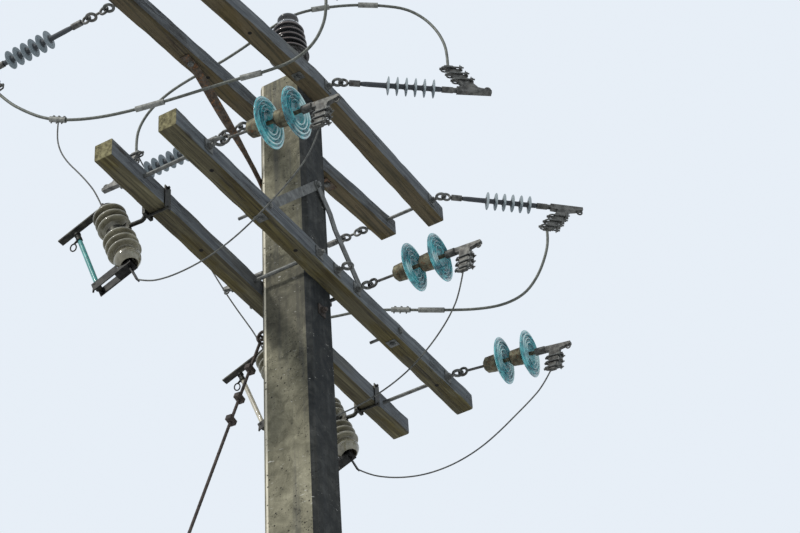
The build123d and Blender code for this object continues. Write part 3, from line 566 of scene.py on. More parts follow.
# Each line insulator: the frame of its set, and how far along that the insulator is
POLYMER_SETS = {
    "front_left": (set_place((-1110.0, -220.5, SETS_Z), -48.0), 0.0),
    "front_middle": (set_place((0.0, -298.2, SETS_Z), -50.0), 0.0),
    "front_right": (set_place((1110.0, -283.3, SETS_Z), -47.0), 0.0),
    "back_left": (set_place((-1110.0, 370.3, SETS_Z), 90.0, -2.0), 110.0),
    "back_middle": (set_place((0.0, 303.3, SETS_Z), 90.0), 110.0),
    "back_right": (set_place((1110.0, 236.3, SETS_Z), 92.0, -2.0), 110.0),
}
GLASS_PLACES = {
    "left": set_place((-1105.0, -304.2, STRINGS_Z), -88.5, -4.0),
    "middle": set_place((185.0, -304.2, STRINGS_Z), -88.5, -1.0),
    "right": set_place((1090.0, -304.2, STRINGS_Z), -85.0, -4.0),
}
FUSE_Y, FUSE_Z, FUSE_TILT = 404.0, 8330.0, 20.0
FUSE_PLACES = {
    name: upright_place((x, FUSE_Y, FUSE_Z), FUSE_TILT)
    for name, x in (("left", -920.0), ("middle", 470.0), ("right", 1010.0))
}
# Sleeves with bolts: jumper, run of its route, length in millimetres and bolts
BOLTED_SLEEVES = (("jumper_left", 3, 90.0, 3), ("jumper_right", 8, 110.0, 3))
ARM_SIZE = 100.0
# Inner faces of the arms in plan, the side that each arm lies on, and its bottom
ARMS = {
    "lower_arm_back": ([(-1358.0, 120.2), (-130.0, 140.2), (130.0, 140.2), (1358.0, 158.2)], 1, LOWER_ARM),
    "lower_arm_front": ([(-1358.0, -140.2), (1358.0, -140.2)], -1, LOWER_ARM),
    "upper_arm_back": ([(-1518.0, 231.0), (1198.0, 67.0)], 1, UPPER_ARM),
    "upper_arm_front": (
        [(-1467.0, -28.2), (-130.0, -134.2), (130.0, -134.2), (1249.0, -117.2)], -1, UPPER_ARM
    ),
}
JUMPER_D, LEAD_D = 16.0, 8.0
# Each cord: diameter, length in metres, and the control points of its route
CORDS = {
    "jumper_left": (JUMPER_D, 2.127, [
        (-1110, 1086, 9516), (-1088, 1020, 9420), (-1060, 925, 9325), (-1025, 815, 9240),
        (-985, 680, 9190), (-935, 530, 9170), (-885, 370, 9172), (-835, 200, 9185),
        (-785, 30, 9205), (-738, -140, 9222), (-697, -310, 9222), (-668, -450, 9240),
        (-660, -560, 9300), (-675, -635, 9390), (-698, -665, 9480), (-705, -669, 9545),
    ]),
    "jumper_middle": (JUMPER_D, 2.502, [
        (0, 1019, 9870), (-3, 1022, 9960), (-6, 1000, 10060), (-8, 925, 10150),
        (-7, 800, 10215), (-6, 640, 10245), (-5, 460, 10255), (-3, 290, 10290),
        (0, 130, 10340), (5, 0, 10372), (45, -110, 10395), (110, -220, 10415),
        (180, -330, 10425), (255, -450, 10415), (325, -565, 10385), (372, -645, 10310),
        (392, -705, 10205), (398, -745, 10090), (395, -762, 9980), (390, -761, 9870),
    ]),
    "jumper_right": (JUMPER_D, 2.11, [
        (1523, -724, 9545), (1530, -722, 9470), (1537, -690, 9370), (1535, -630, 9250),
        (1520, -545, 9150), (1490, -420, 9110), (1450, -270, 9122), (1405, -110, 9160),
        (1355, 60, 9205), (1305, 225, 9250), (1255, 385, 9275), (1210, 535, 9270),
        (1170, 675, 9290), (1135, 800, 9345), (1106, 890, 9420), (1086, 948, 9518),
    ]),
    "left_top_lead": (LEAD_D, 0.682, [
        (-1004, 745, 9206), (-998, 756, 9110), (-984, 740, 9012), (-968, 698, 8925),
        (-954, 640, 8842), (-941, 586, 8756), (-930, 543, 8674), (-921, 514, 8588),
    ]),
    "middle_top_lead": (LEAD_D, 1.491, [
        (8, 1030, 9905), (40, 1010, 9815), (78, 965, 9718), (116, 918, 9616),
        (154, 874, 9513), (193, 834, 9411), (231, 797, 9310), (268, 762, 9208),
        (304, 726, 9108), (338, 690, 9010), (371, 654, 8918), (402, 617, 8832),
        (431, 580, 8752), (455, 545, 8674), (469, 514, 8588),
    ]),
    "right_top_lead": (LEAD_D, 0.918, [
        (1106, 886, 9416), (1101, 858, 9320), (1090, 808, 9222), (1077, 750, 9128),
        (1064, 693, 9036), (1051, 642, 8942), (1038, 598, 8848), (1026, 560, 8756),
        (1016, 530, 8672), (1009, 514, 8588),
    ]),
    "left_bottom_lead": (LEAD_D, 1.257, [
        (-920, 288, 8030), (-923, 220, 7985), (-930, 125, 7955), (-940, 15, 7940),
        (-952, -100, 7938), (-965, -212, 7950), (-980, -322, 7975), (-996, -430, 8012),
        (-1012, -530, 8055), (-1030, -630, 8100), (-1052, -722, 8148), (-1070, -790, 8212),
        (-1084, -832, 8286),
    ]),
    "middle_bottom_lead": (LEAD_D, 1.316, [
        (470, 288, 8030), (466, 222, 7992), (455, 120, 7965), (438, 10, 7950),
        (417, -100, 7942), (393, -210, 7942), (367, -320, 7950), (340, -430, 7972),
        (312, -535, 8012), (283, -635, 8065), (255, -722, 8128), (226, -790, 8200),
        (202, -836, 8312),
    ]),
    "right_bottom_lead": (LEAD_D, 1.301, [
        (1010, 288, 8030), (1014, 225, 7975), (1024, 130, 7925), (1036, 25, 7890),
        (1049, -85, 7872), (1062, -198, 7875), (1075, -308, 7898), (1088, -412, 7940),
        (1100, -508, 7998), (1111, -600, 8065), (1121, -690, 8130), (1129, -768, 8196),
        (1134, -826, 8286),
    ]),
}


def smooth_line(route):
    """Points of the NURBS spline whose control points are the route, in metres."""
    curve = bpy.data.curves.new("guide", "CURVE")
    curve.dimensions = "3D"
    line = curve.splines.new("NURBS")
    line.points.add(len(route) - 1)
    control = np.column_stack([np.array(route, float) * MM, np.ones(len(route))])
    line.points.foreach_set("co", control.ravel())
    line.order_u = 3
    line.use_endpoint_u = True
    line.resolution_u = 24
    guide = linked("guide", curve)
    mesh = bpy.data.meshes.new_from_object(guide)
    points = np.empty(len(mesh.vertices) * 3)
    mesh.vertices.foreach_get("co", points)
    bpy.data.objects.remove(guide)
    bpy.data.curves.remove(curve)
    bpy.data.meshes.remove(mesh)
    return points.reshape(-1, 3)


def even_steps(line, step):
    """The line again, with points about a step apart, and how far along it each of them is."""
    run = np.concatenate([[0], np.cumsum(np.linalg.norm(np.diff(line, axis=0), axis=1))])
    at = np.linspace(0, run[-1], max(8, int(run[-1] / step)))
    return np.stack([np.interp(at, run, line[:, k]) for k in range(3)], 1), at


def side_vectors(line):
    """Two directions square to the line, steady along it, from the axis that it follows least."""
    way = unit(np.gradient(line, axis=0))
    least = np.linalg.svd(way, full_matrices=False)[2][-1]
    first = unit(np.cross(way, least))
    return first, np.cross(way, first)


def stranded(line, radius, strands, lay, around, step, groove):
    """Laid strand: the radius falls by the groove between strands that turn once in each lay."""
    points, at = even_steps(line, step)
    first, second = side_vectors(points)
    angle = angles(around)
    turn = strands / 2 * (angle[None, :] - 2 * np.pi * at[:, None] / lay)
    reach = radius * (1 - groove + groove * np.abs(np.cos(turn)))
    ring = np.cos(angle)[None, :, None] * first[:, None] + np.sin(angle)[None, :, None] * second[:, None]
    skin = (points[:, None] + ring * reach[..., None]).reshape(-1, 3)
    return capped(skin, points[[0, -1]], around)


def tube(line, radius, place, around=12, step=0.004):
    """Plain round bar along a line in millimetres in a local frame, with flat ends."""
    return moved(stranded(np.array(line, float) * MM, radius * MM, 1, 1.0, around, step, 0.0), place)


# Sizes that a user would change
class PoleLook(bpy.types.PropertyGroup):
    """Camera, light and cord settings of the dressed pole."""

    lens: bpy.props.FloatProperty(
        name="Lens", description="Focal length of the camera in millimetres", default=99.66, min=10.0
    )
    sun_power: bpy.props.FloatProperty(
        name="Sun power", description="Strength of the main lamp", default=2.1, min=0.0
    )
    sky_power: bpy.props.FloatProperty(
        name="Sky power", description="Strength of the soft light from all round", default=0.62, min=0.0
    )
    backdrop: bpy.props.FloatVectorProperty(
        name="Backdrop", description="Colour behind the pole",
        subtype="COLOR", size=3, default=(0.8, 0.86, 0.93), min=0.0, max=1.0,
    )
    strand_lay: bpy.props.FloatProperty(
        name="Strand lay", description="Length in which a jumper's strands turn once",
        default=0.16, min=0.02, subtype="DISTANCE", unit="LENGTH",
    )
    edge_wear: bpy.props.FloatProperty(
        name="Edge wear", description="Depth worn off the arms' corners",
        default=0.0035, min=0.0, max=0.01, subtype="DISTANCE", unit="LENGTH",
    )


def look():
    return bpy.context.scene.pole_look


# Operators
class POLE_OT_stage(bpy.types.Operator):
    """Camera, lamps, sky, floor"""

    bl_idname = "pole.stage"
    bl_label = "Stage and camera"
    # The camera's place in metres, and its turns in degrees
    EYE = (-7.321, -4.593, 1.56)
    AZIMUTH, PITCH, ROLL = 28.627, 38.982, 3.942

    def execute(self, context):
        self.add_camera(context.scene)
        self.add_lamp("sun", look().sun_power, 6.0, (0.95, -0.35, -0.75), (1.0, 0.97, 0.92))
        self.add_lamp("fill", 0.55, 40.0, (0.2, 0.9, 0.5), (0.92, 0.96, 1.0))
        self.add_sky(context.scene)
        self.add_floor()
        context.scene.view_settings.view_transform = "Standard"
        return {"FINISHED"}

    def add_camera(self, scene):
        """Camera at the eye, turned to its azimuth and pitch and then rolled about its own axis."""
        azimuth, pitch, roll = np.radians([self.AZIMUTH, self.PITCH, self.ROLL])
        level_way = np.array([math.cos(azimuth), math.sin(azimuth)])
        ahead = np.array([*level_way * math.cos(pitch), math.sin(pitch)])
        level = unit(np.cross(ahead, [0.0, 0.0, 1.0]))
        below = np.cross(ahead, level)
        right = math.cos(roll) * level + math.sin(roll) * below
        down = -math.sin(roll) * level + math.cos(roll) * below
        data = bpy.data.cameras.new("camera")
        data.lens = look().lens
        data.sensor_width = 36.0
        data.sensor_fit = "HORIZONTAL"
        data.clip_end = 200.0
        scene.camera = linked("camera", data, frame_of(right, -down, -ahead, self.EYE))

    @staticmethod
    def add_lamp(name, power, softness, way, colour):
        """Lamp that shines this way, as wide in the sky as its softness in degrees."""
        data = bpy.data.lights.new(name, "SUN")
        data.energy = power
        data.angle = math.radians(softness)
        data.color = colour
        back = -unit(np.array(way))
        side = unit(np.cross([0.0, 0.0, 1.0], back))
        linked(name, data, frame_of(side, np.cross(back, side), back, back * 20.0))

    @staticmethod
    def add_sky(scene):
        """Soft light from all round, and a pale backdrop for rays from the camera and clear surfaces."""
        scene.world = bpy.data.worlds.new("soft_sky")
        scene.world.use_nodes = True
        sky = Nodes(scene.world.node_tree)
        soft = sky.node("ShaderNodeBackground", None, {0: (0.93, 0.96, 1.0, 1.0), 1: look().sky_power})
        seen = sky.node("ShaderNodeBackground", None, {0: (*look().backdrop, 1.0), 1: 1.0})
        shown, clear, glossy = (
            sky.node("ShaderNodeLightPath", out="Is %s Ray" % kind)
            for kind in ("Camera", "Transmission", "Glossy")
        )
        shown = shown.most(clear).most(glossy)
        chosen = sky.node("ShaderNodeMixShader", None, {0: shown, 1: soft, 2: seen})
        sky.node("ShaderNodeOutputWorld", None, {0: chosen})

    @staticmethod
    def add_floor(reach=60.0):
        mesh = bpy.data.meshes.new("floor")
        corners = [(-reach, -reach, 0), (reach, -reach, 0), (reach, reach, 0), (-reach, reach, 0)]
        mesh.from_pydata(corners, [], [(0, 1, 2, 3)])
        mesh.materials.append(plain_finish("pale_floor", (0.7, 0.72, 0.74), (0.74, 0.76, 0.78), 0.6, 0.9))
        floor = linked("floor", mesh)


class POLE_OT_dress(bpy.types.Operator):
    """Finishes of the solids that keep their shape"""

    bl_idname = "pole.dress"
    bl_label = "Finishes of the solids"
    # The first part of a node's name that fits says its finish, and the rest is galvanised
    LOOKS = {
        "arm_back": "timber", "arm_front": "timber", "glass_discs": "glass", "spool": "rubber",
        "insulator_pin": "galvanised", "pin_insulator": "dark_glaze", "_insulator": "sheds",
        "fuse_porcelain": "porcelain", "fuse_metalwork": "bronze", "glass_hardware": "rusty",
        "left_fuse_carrier": "green_tube", "fuse_carrier": "cream_tube", "stay": "stay",
        "sleeves": "sleeve", "_lead": "lead", "jumper": "conductor",
        "upper_braces": "brown_bar", "_clamp": "aluminium",
    }
    # Metal of a glass string is rusty between these distances along it in millimetres, and grey outside
    CAPS_START, CAPS_END = 150.0, 441.0
    # Fuse metalwork is black under this height in metres
    CASTING_TOP = 8.2

    def execute(self, context):
        for name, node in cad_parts.items():
            node.data.materials.clear()
            node.data.materials.append(FINISHES[self.finish_of(name)])
        for name, place in GLASS_PLACES.items():
            hardware = name + "_glass_hardware"
            self.second_finish(hardware, "old_iron", lambda spots: self.off_caps(spots, place))
        for name in FUSE_PLACES:
            metalwork = name + "_fuse_metalwork"
            self.second_finish(metalwork, "black_casting", lambda spots: spots[:, 2] < self.CASTING_TOP)
        return {"FINISHED"}

    @staticmethod
    def second_finish(name, finish, chosen):
        """Gives the faces whose middles the test chooses a finish of their own."""
        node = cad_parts[name]
        mesh = node.data
        mesh.materials.append(FINISHES[finish])
        middles = np.empty(len(mesh.polygons) * 3)
        mesh.polygons.foreach_get("center", middles)
        spots, _ = moved((middles.reshape(-1, 3), None), np.array(node.matrix_world))
        mesh.polygons.foreach_set("material_index", chosen(spots).astype(np.int32))

    @classmethod
    def off_caps(cls, spots, place):
        """True before the first cap of a string and after its second disc."""
        along = (spots - place[:3, 3]) @ place[:3, 0] / MM
        return (along < cls.CAPS_START) | (along > cls.CAPS_END)

    @classmethod
    def finish_of(cls, name):
        if name == "pole":
            return "concrete"
        return next((finish for part, finish in cls.LOOKS.items() if part in name), "galvanised")


class POLE_OT_cords(bpy.types.Operator):
    """Jumpers and leads as laid strands along their smooth lines"""

    bl_idname = "pole.cords"
    bl_label = "Jumpers and leads"

    def execute(self, context):
        for name, (diameter, length, route) in CORDS.items():
            line = smooth_line(route)
            thick = diameter > LEAD_D
            around, groove, short = (42, 0.06, 1.0) if thick else (24, 0.12, 0.6)
            lay = look().strand_lay * short
            shape = stranded(line, diameter * MM / 2, 7, lay, around, step=0.006, groove=groove)
            made = piece(name + "_strand", shape, "conductor" if thick else "lead")
            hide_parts(name)
        return {"FINISHED"}


class POLE_OT_polymer(bpy.types.Operator):
    """Silicone sheds on the six line insulators"""

    bl_idname = "pole.polymer"
    bl_label = "Line insulators"
    # Both ends of the sheath and the place of each shed along it, in millimetres
    SHEATH_START, SHEATH_END, ROD_R = 120.3, 559.7, 14.0
    SHEDS, FIRST_SHED, SHED_STEP = 6, 263.0, 49.0
    # One shed: how far along from its middle, and radius
    SHED = (
        (-9, ROD_R), (-2, 17), (3, 34), (6.3, 50.5), (7.5, 51.5),
        (8.7, 50.5), (8.6, 34), (9.5, 19), (14, 14.2),
    )
    # Radius past the rod's at which a shed is at its palest, clear of the painted shade near the rod
    PALE_PAST = 40.0
    AROUND = 56

    def execute(self, context):
        for name, (place, start) in POLYMER_SETS.items():
            low, high = start + self.SHEATH_START, start + self.SHEATH_END
            profile = [(low, 0.0), (low, self.ROD_R)]
            for i in range(self.SHEDS):
                x = start + self.FIRST_SHED + i * self.SHED_STEP
                profile += [(x + along, radius) for along, radius in self.SHED]
            line = rounded(profile + [(high, self.ROD_R), (high, 0.0)])
            edge = np.repeat((line[:, 1] - self.ROD_R) / self.PALE_PAST, self.AROUND)
            shape = turned(line, place, self.AROUND)
            made = piece(name + "_sheds", shape, "sheds", fields={"edge": edge})
            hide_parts(name + "_insulator")
        return {"FINISHED"}


class POLE_OT_glass(bpy.types.Operator):
    """Ribbed glass discs of the three branch strings"""

    bl_idname = "pole.glass"
    bl_label = "Glass discs"
    # Where each disc's middle is along its string, and the parts of a disc's profile in turn
    DISCS = (235.0, 381.0)
    TOP = (
        (-50, 13.2), (-50, 36.8), (-8, 36.8), (-1, 43), (5, 60), (10, 84), (17, 104), (25, 119), (30, 126),
    )
    RIM = ((33, 127.5), (36, 126), (37.5, 122), (34, 116), (27, 111))
    RIBS = (104, 82, 60)
    # One rib under a disc: depth, and radius past the rib's own
    RIB = ((38, 2.5), (44, 1.5), (45, -0.5), (42, -3), (22, -8))
    HUB = ((16, 36), (11, 26), (7, 13.2))
    AROUND = 96

    def execute(self, context):
        ribs = [(depth, radius + past) for radius in self.RIBS for depth, past in self.RIB]
        line = np.array([*self.TOP, *self.RIM, *ribs, *self.HUB], float)
        # Every corner cut at a fifth of its runs, all round the closed profile
        near = np.roll(line, -1, 0)
        line = np.stack([line * 0.8 + near * 0.2, line * 0.2 + near * 0.8], 1).reshape(-1, 2)
        rib = np.clip((line[:, 0] - 30.0) / 12.0, 0.0, 1.0)
        rim = np.clip(1.0 - np.abs(line[:, 1] - 120.0) / 4.0, 0.0, 1.0) * (line[:, 0] > 25.0)
        # Painted highlights: the rim is pale all round, the ribs only where an uneven value round the disc
        # is high
        angle = angles(self.AROUND)
        sweep = np.stack([np.cos(angle) * 0.05, np.sin(angle) * 0.05, np.zeros(self.AROUND)], 1)
        for name, place in GLASS_PLACES.items():
            shape = joined([turned(line + [first, 0.0], place, self.AROUND, True) for first in self.DISCS])
            glint = np.clip(uneven(sweep, len(name), 45.0), 0.0, 1.0)
            pale = np.maximum(rim[:, None], rib[:, None] * (0.08 + 0.85 * glint[None, :]))
            fields = {"edge": np.tile(pale.ravel(), len(self.DISCS))}
            made = piece(name + "_ribbed_discs", shape, "glass", fields=fields)
            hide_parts(name + "_glass_discs")
        return {"FINISHED"}


class POLE_OT_porcelain(bpy.types.Operator):
    """Glazed fuse posts and the pole top insulator"""

    bl_idname = "pole.porcelain"
    bl_label = "Porcelain"
    # Sheds of a fuse post above and below its middle band, each a rim between a slope and a hollow
    UPPER_SHEDS, LOWER_SHEDS = (185, 140, 95), (-5, -50, -95)
    RIM = ((-8, 81.5), (-13, 83), (-16, 81), (-17.5, 76), (-15, 60), (-15, 50))
    UPPER_SHED = ((12, 49), (3, 62), (-3, 75), *RIM, (-20, 46.5))
    LOWER_SHED = ((2, 55), (-3, 74), *RIM, (-20, 47))
    HEAD = ((215, 0), (215, 47), (212, 50.5), (208, 51))
    BAND = ((62, 42), (56, 41), (4, 41))
    FOOT = (
        (-134, 52), (-144, 62), (-158, 67), (-172, 66), (-188, 58), (-200, 48), (-204, 44),
        (-202, 40), (-190, 38), (-166, 30), (-165, 26), (-165, 0),
    )
    # Radius of the pale rims, where the hollow foot is inside, and the top of the bowl round it
    RIM_R, HOLLOW_TOP, HOLLOW_R, BOWL_TOP, AROUND = 83.0, -164.5, 39.5, -132.0, 72
    # Pole top: five sheds in steps, each less wide than the one below, between a foot and a head
    TOP_Z = 10030.0
    TOP_SHEDS = tuple((20.0 + i * 46.0, 112.0 - 6.0 * i) for i in range(5))
    TOP_FOOT = ((120, 0), (120, 13.3), (0, 13.3), (0, 34), (4, 36), (4, 50), (0, 52), (0, 60), (14, 62))
    TOP_HEAD = (
        (262, 62), (268, 58), (276, 46), (284, 46), (294, 57), (304, 60), (314, 56), (320, 44), (320, 0),
    )

    def execute(self, context):
        profile = list(self.HEAD)
        profile += [(z + up, r) for z in self.UPPER_SHEDS for up, r in self.UPPER_SHED]
        profile += self.BAND
        profile += [(z + up, r) for z in self.LOWER_SHEDS for up, r in self.LOWER_SHED]
        profile += self.FOOT
        line = rounded(profile[::-1])
        height, radius = line.T
        edge = 1.0 - np.clip(np.abs(radius - self.RIM_R) / 3.0, 0.0, 1.0)
        hollow = (height < self.HOLLOW_TOP) & (radius < self.HOLLOW_R)
        # Painted shade between the sheds, half as much as in the hollow, and none on the bowl's outside
        under = np.clip((62.0 - radius) / 16.0, 0.0, 1.0) * np.where(height < self.BOWL_TOP, 0.0, 0.5)
        deep = np.where(hollow, 1.0, under)
        fields = {"edge": np.repeat(edge, self.AROUND), "deep": np.repeat(deep, self.AROUND)}
        for name, place in FUSE_PLACES.items():
            shape = turned(line, place, self.AROUND)
            made = piece(name + "_glazed_post", shape, "porcelain", fields=fields)
            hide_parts(name + "_fuse_porcelain")
        self.pole_top()
        return {"FINISHED"}

    def pole_top(self):
        """The insulator over a pale foot ring, its shed rims paler than the rest."""
        profile = list(self.TOP_FOOT)
        for z, reach in self.TOP_SHEDS:
            profile += [(z, 70), (z + 1, reach - 8), (z + 4, reach - 1.5), (z + 9, reach)]
            profile += [(z + 14, reach - 2), (z + 20, reach - 16), (z + 30, 76), (z + 38, 71)]
        profile += self.TOP_HEAD
        line = rounded(profile)
        height, radius = line.T
        edge = np.zeros(len(line))
        for z, reach in self.TOP_SHEDS:
            edge = np.maximum(edge, 1.0 - np.hypot(height - z - 8, radius - reach) / 9.0)
        fields = {"edge": np.repeat(edge, 96), "deep": np.zeros(len(line) * 96)}
        place = upright_place((0.0, 0.0, self.TOP_Z))
        made = piece("pole_top_sheds", turned(line, place, 96), "dark_glaze", fields=fields)
        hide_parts("pin_insulator")
        ring = turned([(-3, 36), (-3, 50), (3, 51), (3, 35)], place, 64, True)
        piece("pole_top_foot_ring", ring, "sleeve")


class POLE_OT_carriers(bpy.types.Operator):
    """Fuse tubes with their ferrules, pull rings and hinge ends, each set on its carrier's body"""

    bl_idname = "pole.carriers"
    bl_label = "Fuse carriers"
    # Distance of a tube's axis from its post's axis, then the tube's profile
    TUBE_OUT = 187.0
    BARREL = ((-172, 0), (-172, 11.5), (-120, 12.6), (120, 12.6), (176, 11.5), (176, 0))
    # Both ends and radius of each ferrule, cap and foot
    FERRULES = ((172, 196, 15.5), (196, 214, 13.0), (214, 226, 17.0), (-206, -164, 16.5))

    def execute(self, context):
        angle = np.linspace(0, 2 * np.pi, 25)
        for name, place in FUSE_PLACES.items():
            body = name + "_carrier"
            # Sign of the local Z axis that points away from the pole
            out = 1.0 if place[1, 2] > 0 else -1.0
            axis = place.copy()
            axis[:3, 3] += place[:3, 2] * self.TUBE_OUT * MM * out
            finish = "green_tube" if name == "left" else "cream_tube"
            barrel = turned(rounded(self.BARREL, 1), axis, 28)
            made = piece(name + "_fuse_barrel", barrel, finish, body=body)
            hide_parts(name + "_fuse_carrier")
            shapes = []
            for low, high, r in self.FERRULES:
                half = [(low, 0), (low, r - 1.5), (low + 1.5, r)]
                other = [(high - 1.5, r), (high, r - 1.5), (high, 0)]
                shapes.append(turned(half + other, axis, 24))
            # The pull ring is an ellipse, and the other bars are straight runs
            loop = np.stack([163 + 23 * np.cos(angle), np.zeros(25), (44 + 17 * np.sin(angle)) * out], 1)
            arm = [(190, 0, 0), (184, 0, 22 * out), (180, 0, 34 * out)]
            pin = [(-190, -30, 0), (-190, 30, 0)]
            lever = [(-172, 0, 0), (-176, 0, 24 * out), (-196, 0, 33 * out)]
            for line, r in ((loop, 3.6), (arm, 5.5), (pin, 6.0), (lever, 5.0)):
                shapes.append(tube(line, r, axis))
            piece(name + "_fuse_fittings", joined(shapes), "bronze", body=body)
        return {"FINISHED"}


class POLE_OT_clamps(bpy.types.Operator):
    """U-bolts, nuts and keepers of the nine strain clamps"""

    bl_idname = "pole.clamps"
    bl_label = "Clamp bolts"
    # Along a set: where its clamp's tail turns. Then the clamp's size and how far its tail leans
    LINE_CLAMP = (640.0, 1.0, 115.0)
    STRING_CLAMP = (491.0, 0.8, 20.0)

    def execute(self, context):
        pivot, size, lean = self.LINE_CLAMP
        for name, (place, start) in POLYMER_SETS.items():
            up = 1.0 if name.endswith("middle") else -1.0
            self.dress(name + "_clamp_bolts", place, start + pivot, size, lean, up)
        for name, place in GLASS_PLACES.items():
            self.dress(name + "_string_clamp_bolts", place, *self.STRING_CLAMP, -1.0)
        self.sleeve_bolts()
        return {"FINISHED"}

    @staticmethod
    def sleeve_bolts():
        """Bolt heads above and bolt ends below the two bolted sleeves."""
        head = [(14.5, 0), (14.5, 7.5), (21, 7.5), (22, 6.5), (22, 0)]
        end = [(14.5, 0), (14.5, 4), (24, 4), (25, 3), (25, 0)]
        shapes = []
        for name, run, length, count in BOLTED_SLEEVES:
            first, second = np.array(CORDS[name][2][run:run + 2], float) * MM
            way = unit(second - first)
            up = np.cross(unit(np.cross(way, (0.0, 0.0, 1.0))), way)
            for share in (np.arange(count) + 0.5) / count - 0.5:
                spot = (first + second) / 2 + way * length * MM * share
                for axis, profile, around in ((up, head, 6), (-up, end, 12)):
                    shapes.append(turned(profile, frame_of(axis, way, np.cross(axis, way), spot), around))
        piece("sleeve_bolts", joined(shapes), "old_iron", smooth=False)

    @staticmethod
    def dress(name, place, pivot, size, lean, up):
        """Three U-bolts across the tail, each with a plate and two nuts, and a keeper under them."""
        length, tail, side, r = 190.0 * size, 170.0 * size, 20.5 * size, 4.6 * size
        bow = np.linspace(np.pi / 2, 3 * np.pi / 2, 14)
        nut = np.array([(0, 0), (0, 9), (9, 9), (9, 0)], float) * size
        shapes = []
        for share in (0.42, 0.66, 0.9):
            middle = pivot + 0.43 * length - lean * share
            near, far, z = middle - 0.17 * length, middle + 0.36 * length, up * tail * share
            bend = [(near + side * math.cos(a), side * math.sin(a), z) for a in bow]
            line = [(far, side, z)] + bend + [(far, -side, z)]
            shapes.append(tube(line, r, place, 10))
            at, wide, high = far - 24 * size, side + 9 * size, 11 * size
            shapes.append(block([at, -wide, z - high], [at + 5 * size, wide, z + high], place))
            for y in (-side, side):
                points, faces = turned(nut + [at + 5 * size, 0.0], np.eye(4), 6)
                shapes.append(moved((points + np.array([0.0, y, z]) * MM, faces), place))
        ends = [(pivot + 0.55 * length - lean * k, 0.0, up * tail * k) for k in (0.3, 0.6, 0.98)]
        shapes.append(tube(ends, 12.0 * size, place, 14, 0.008))
        piece(name, joined(shapes), "galvanised", smooth=False)


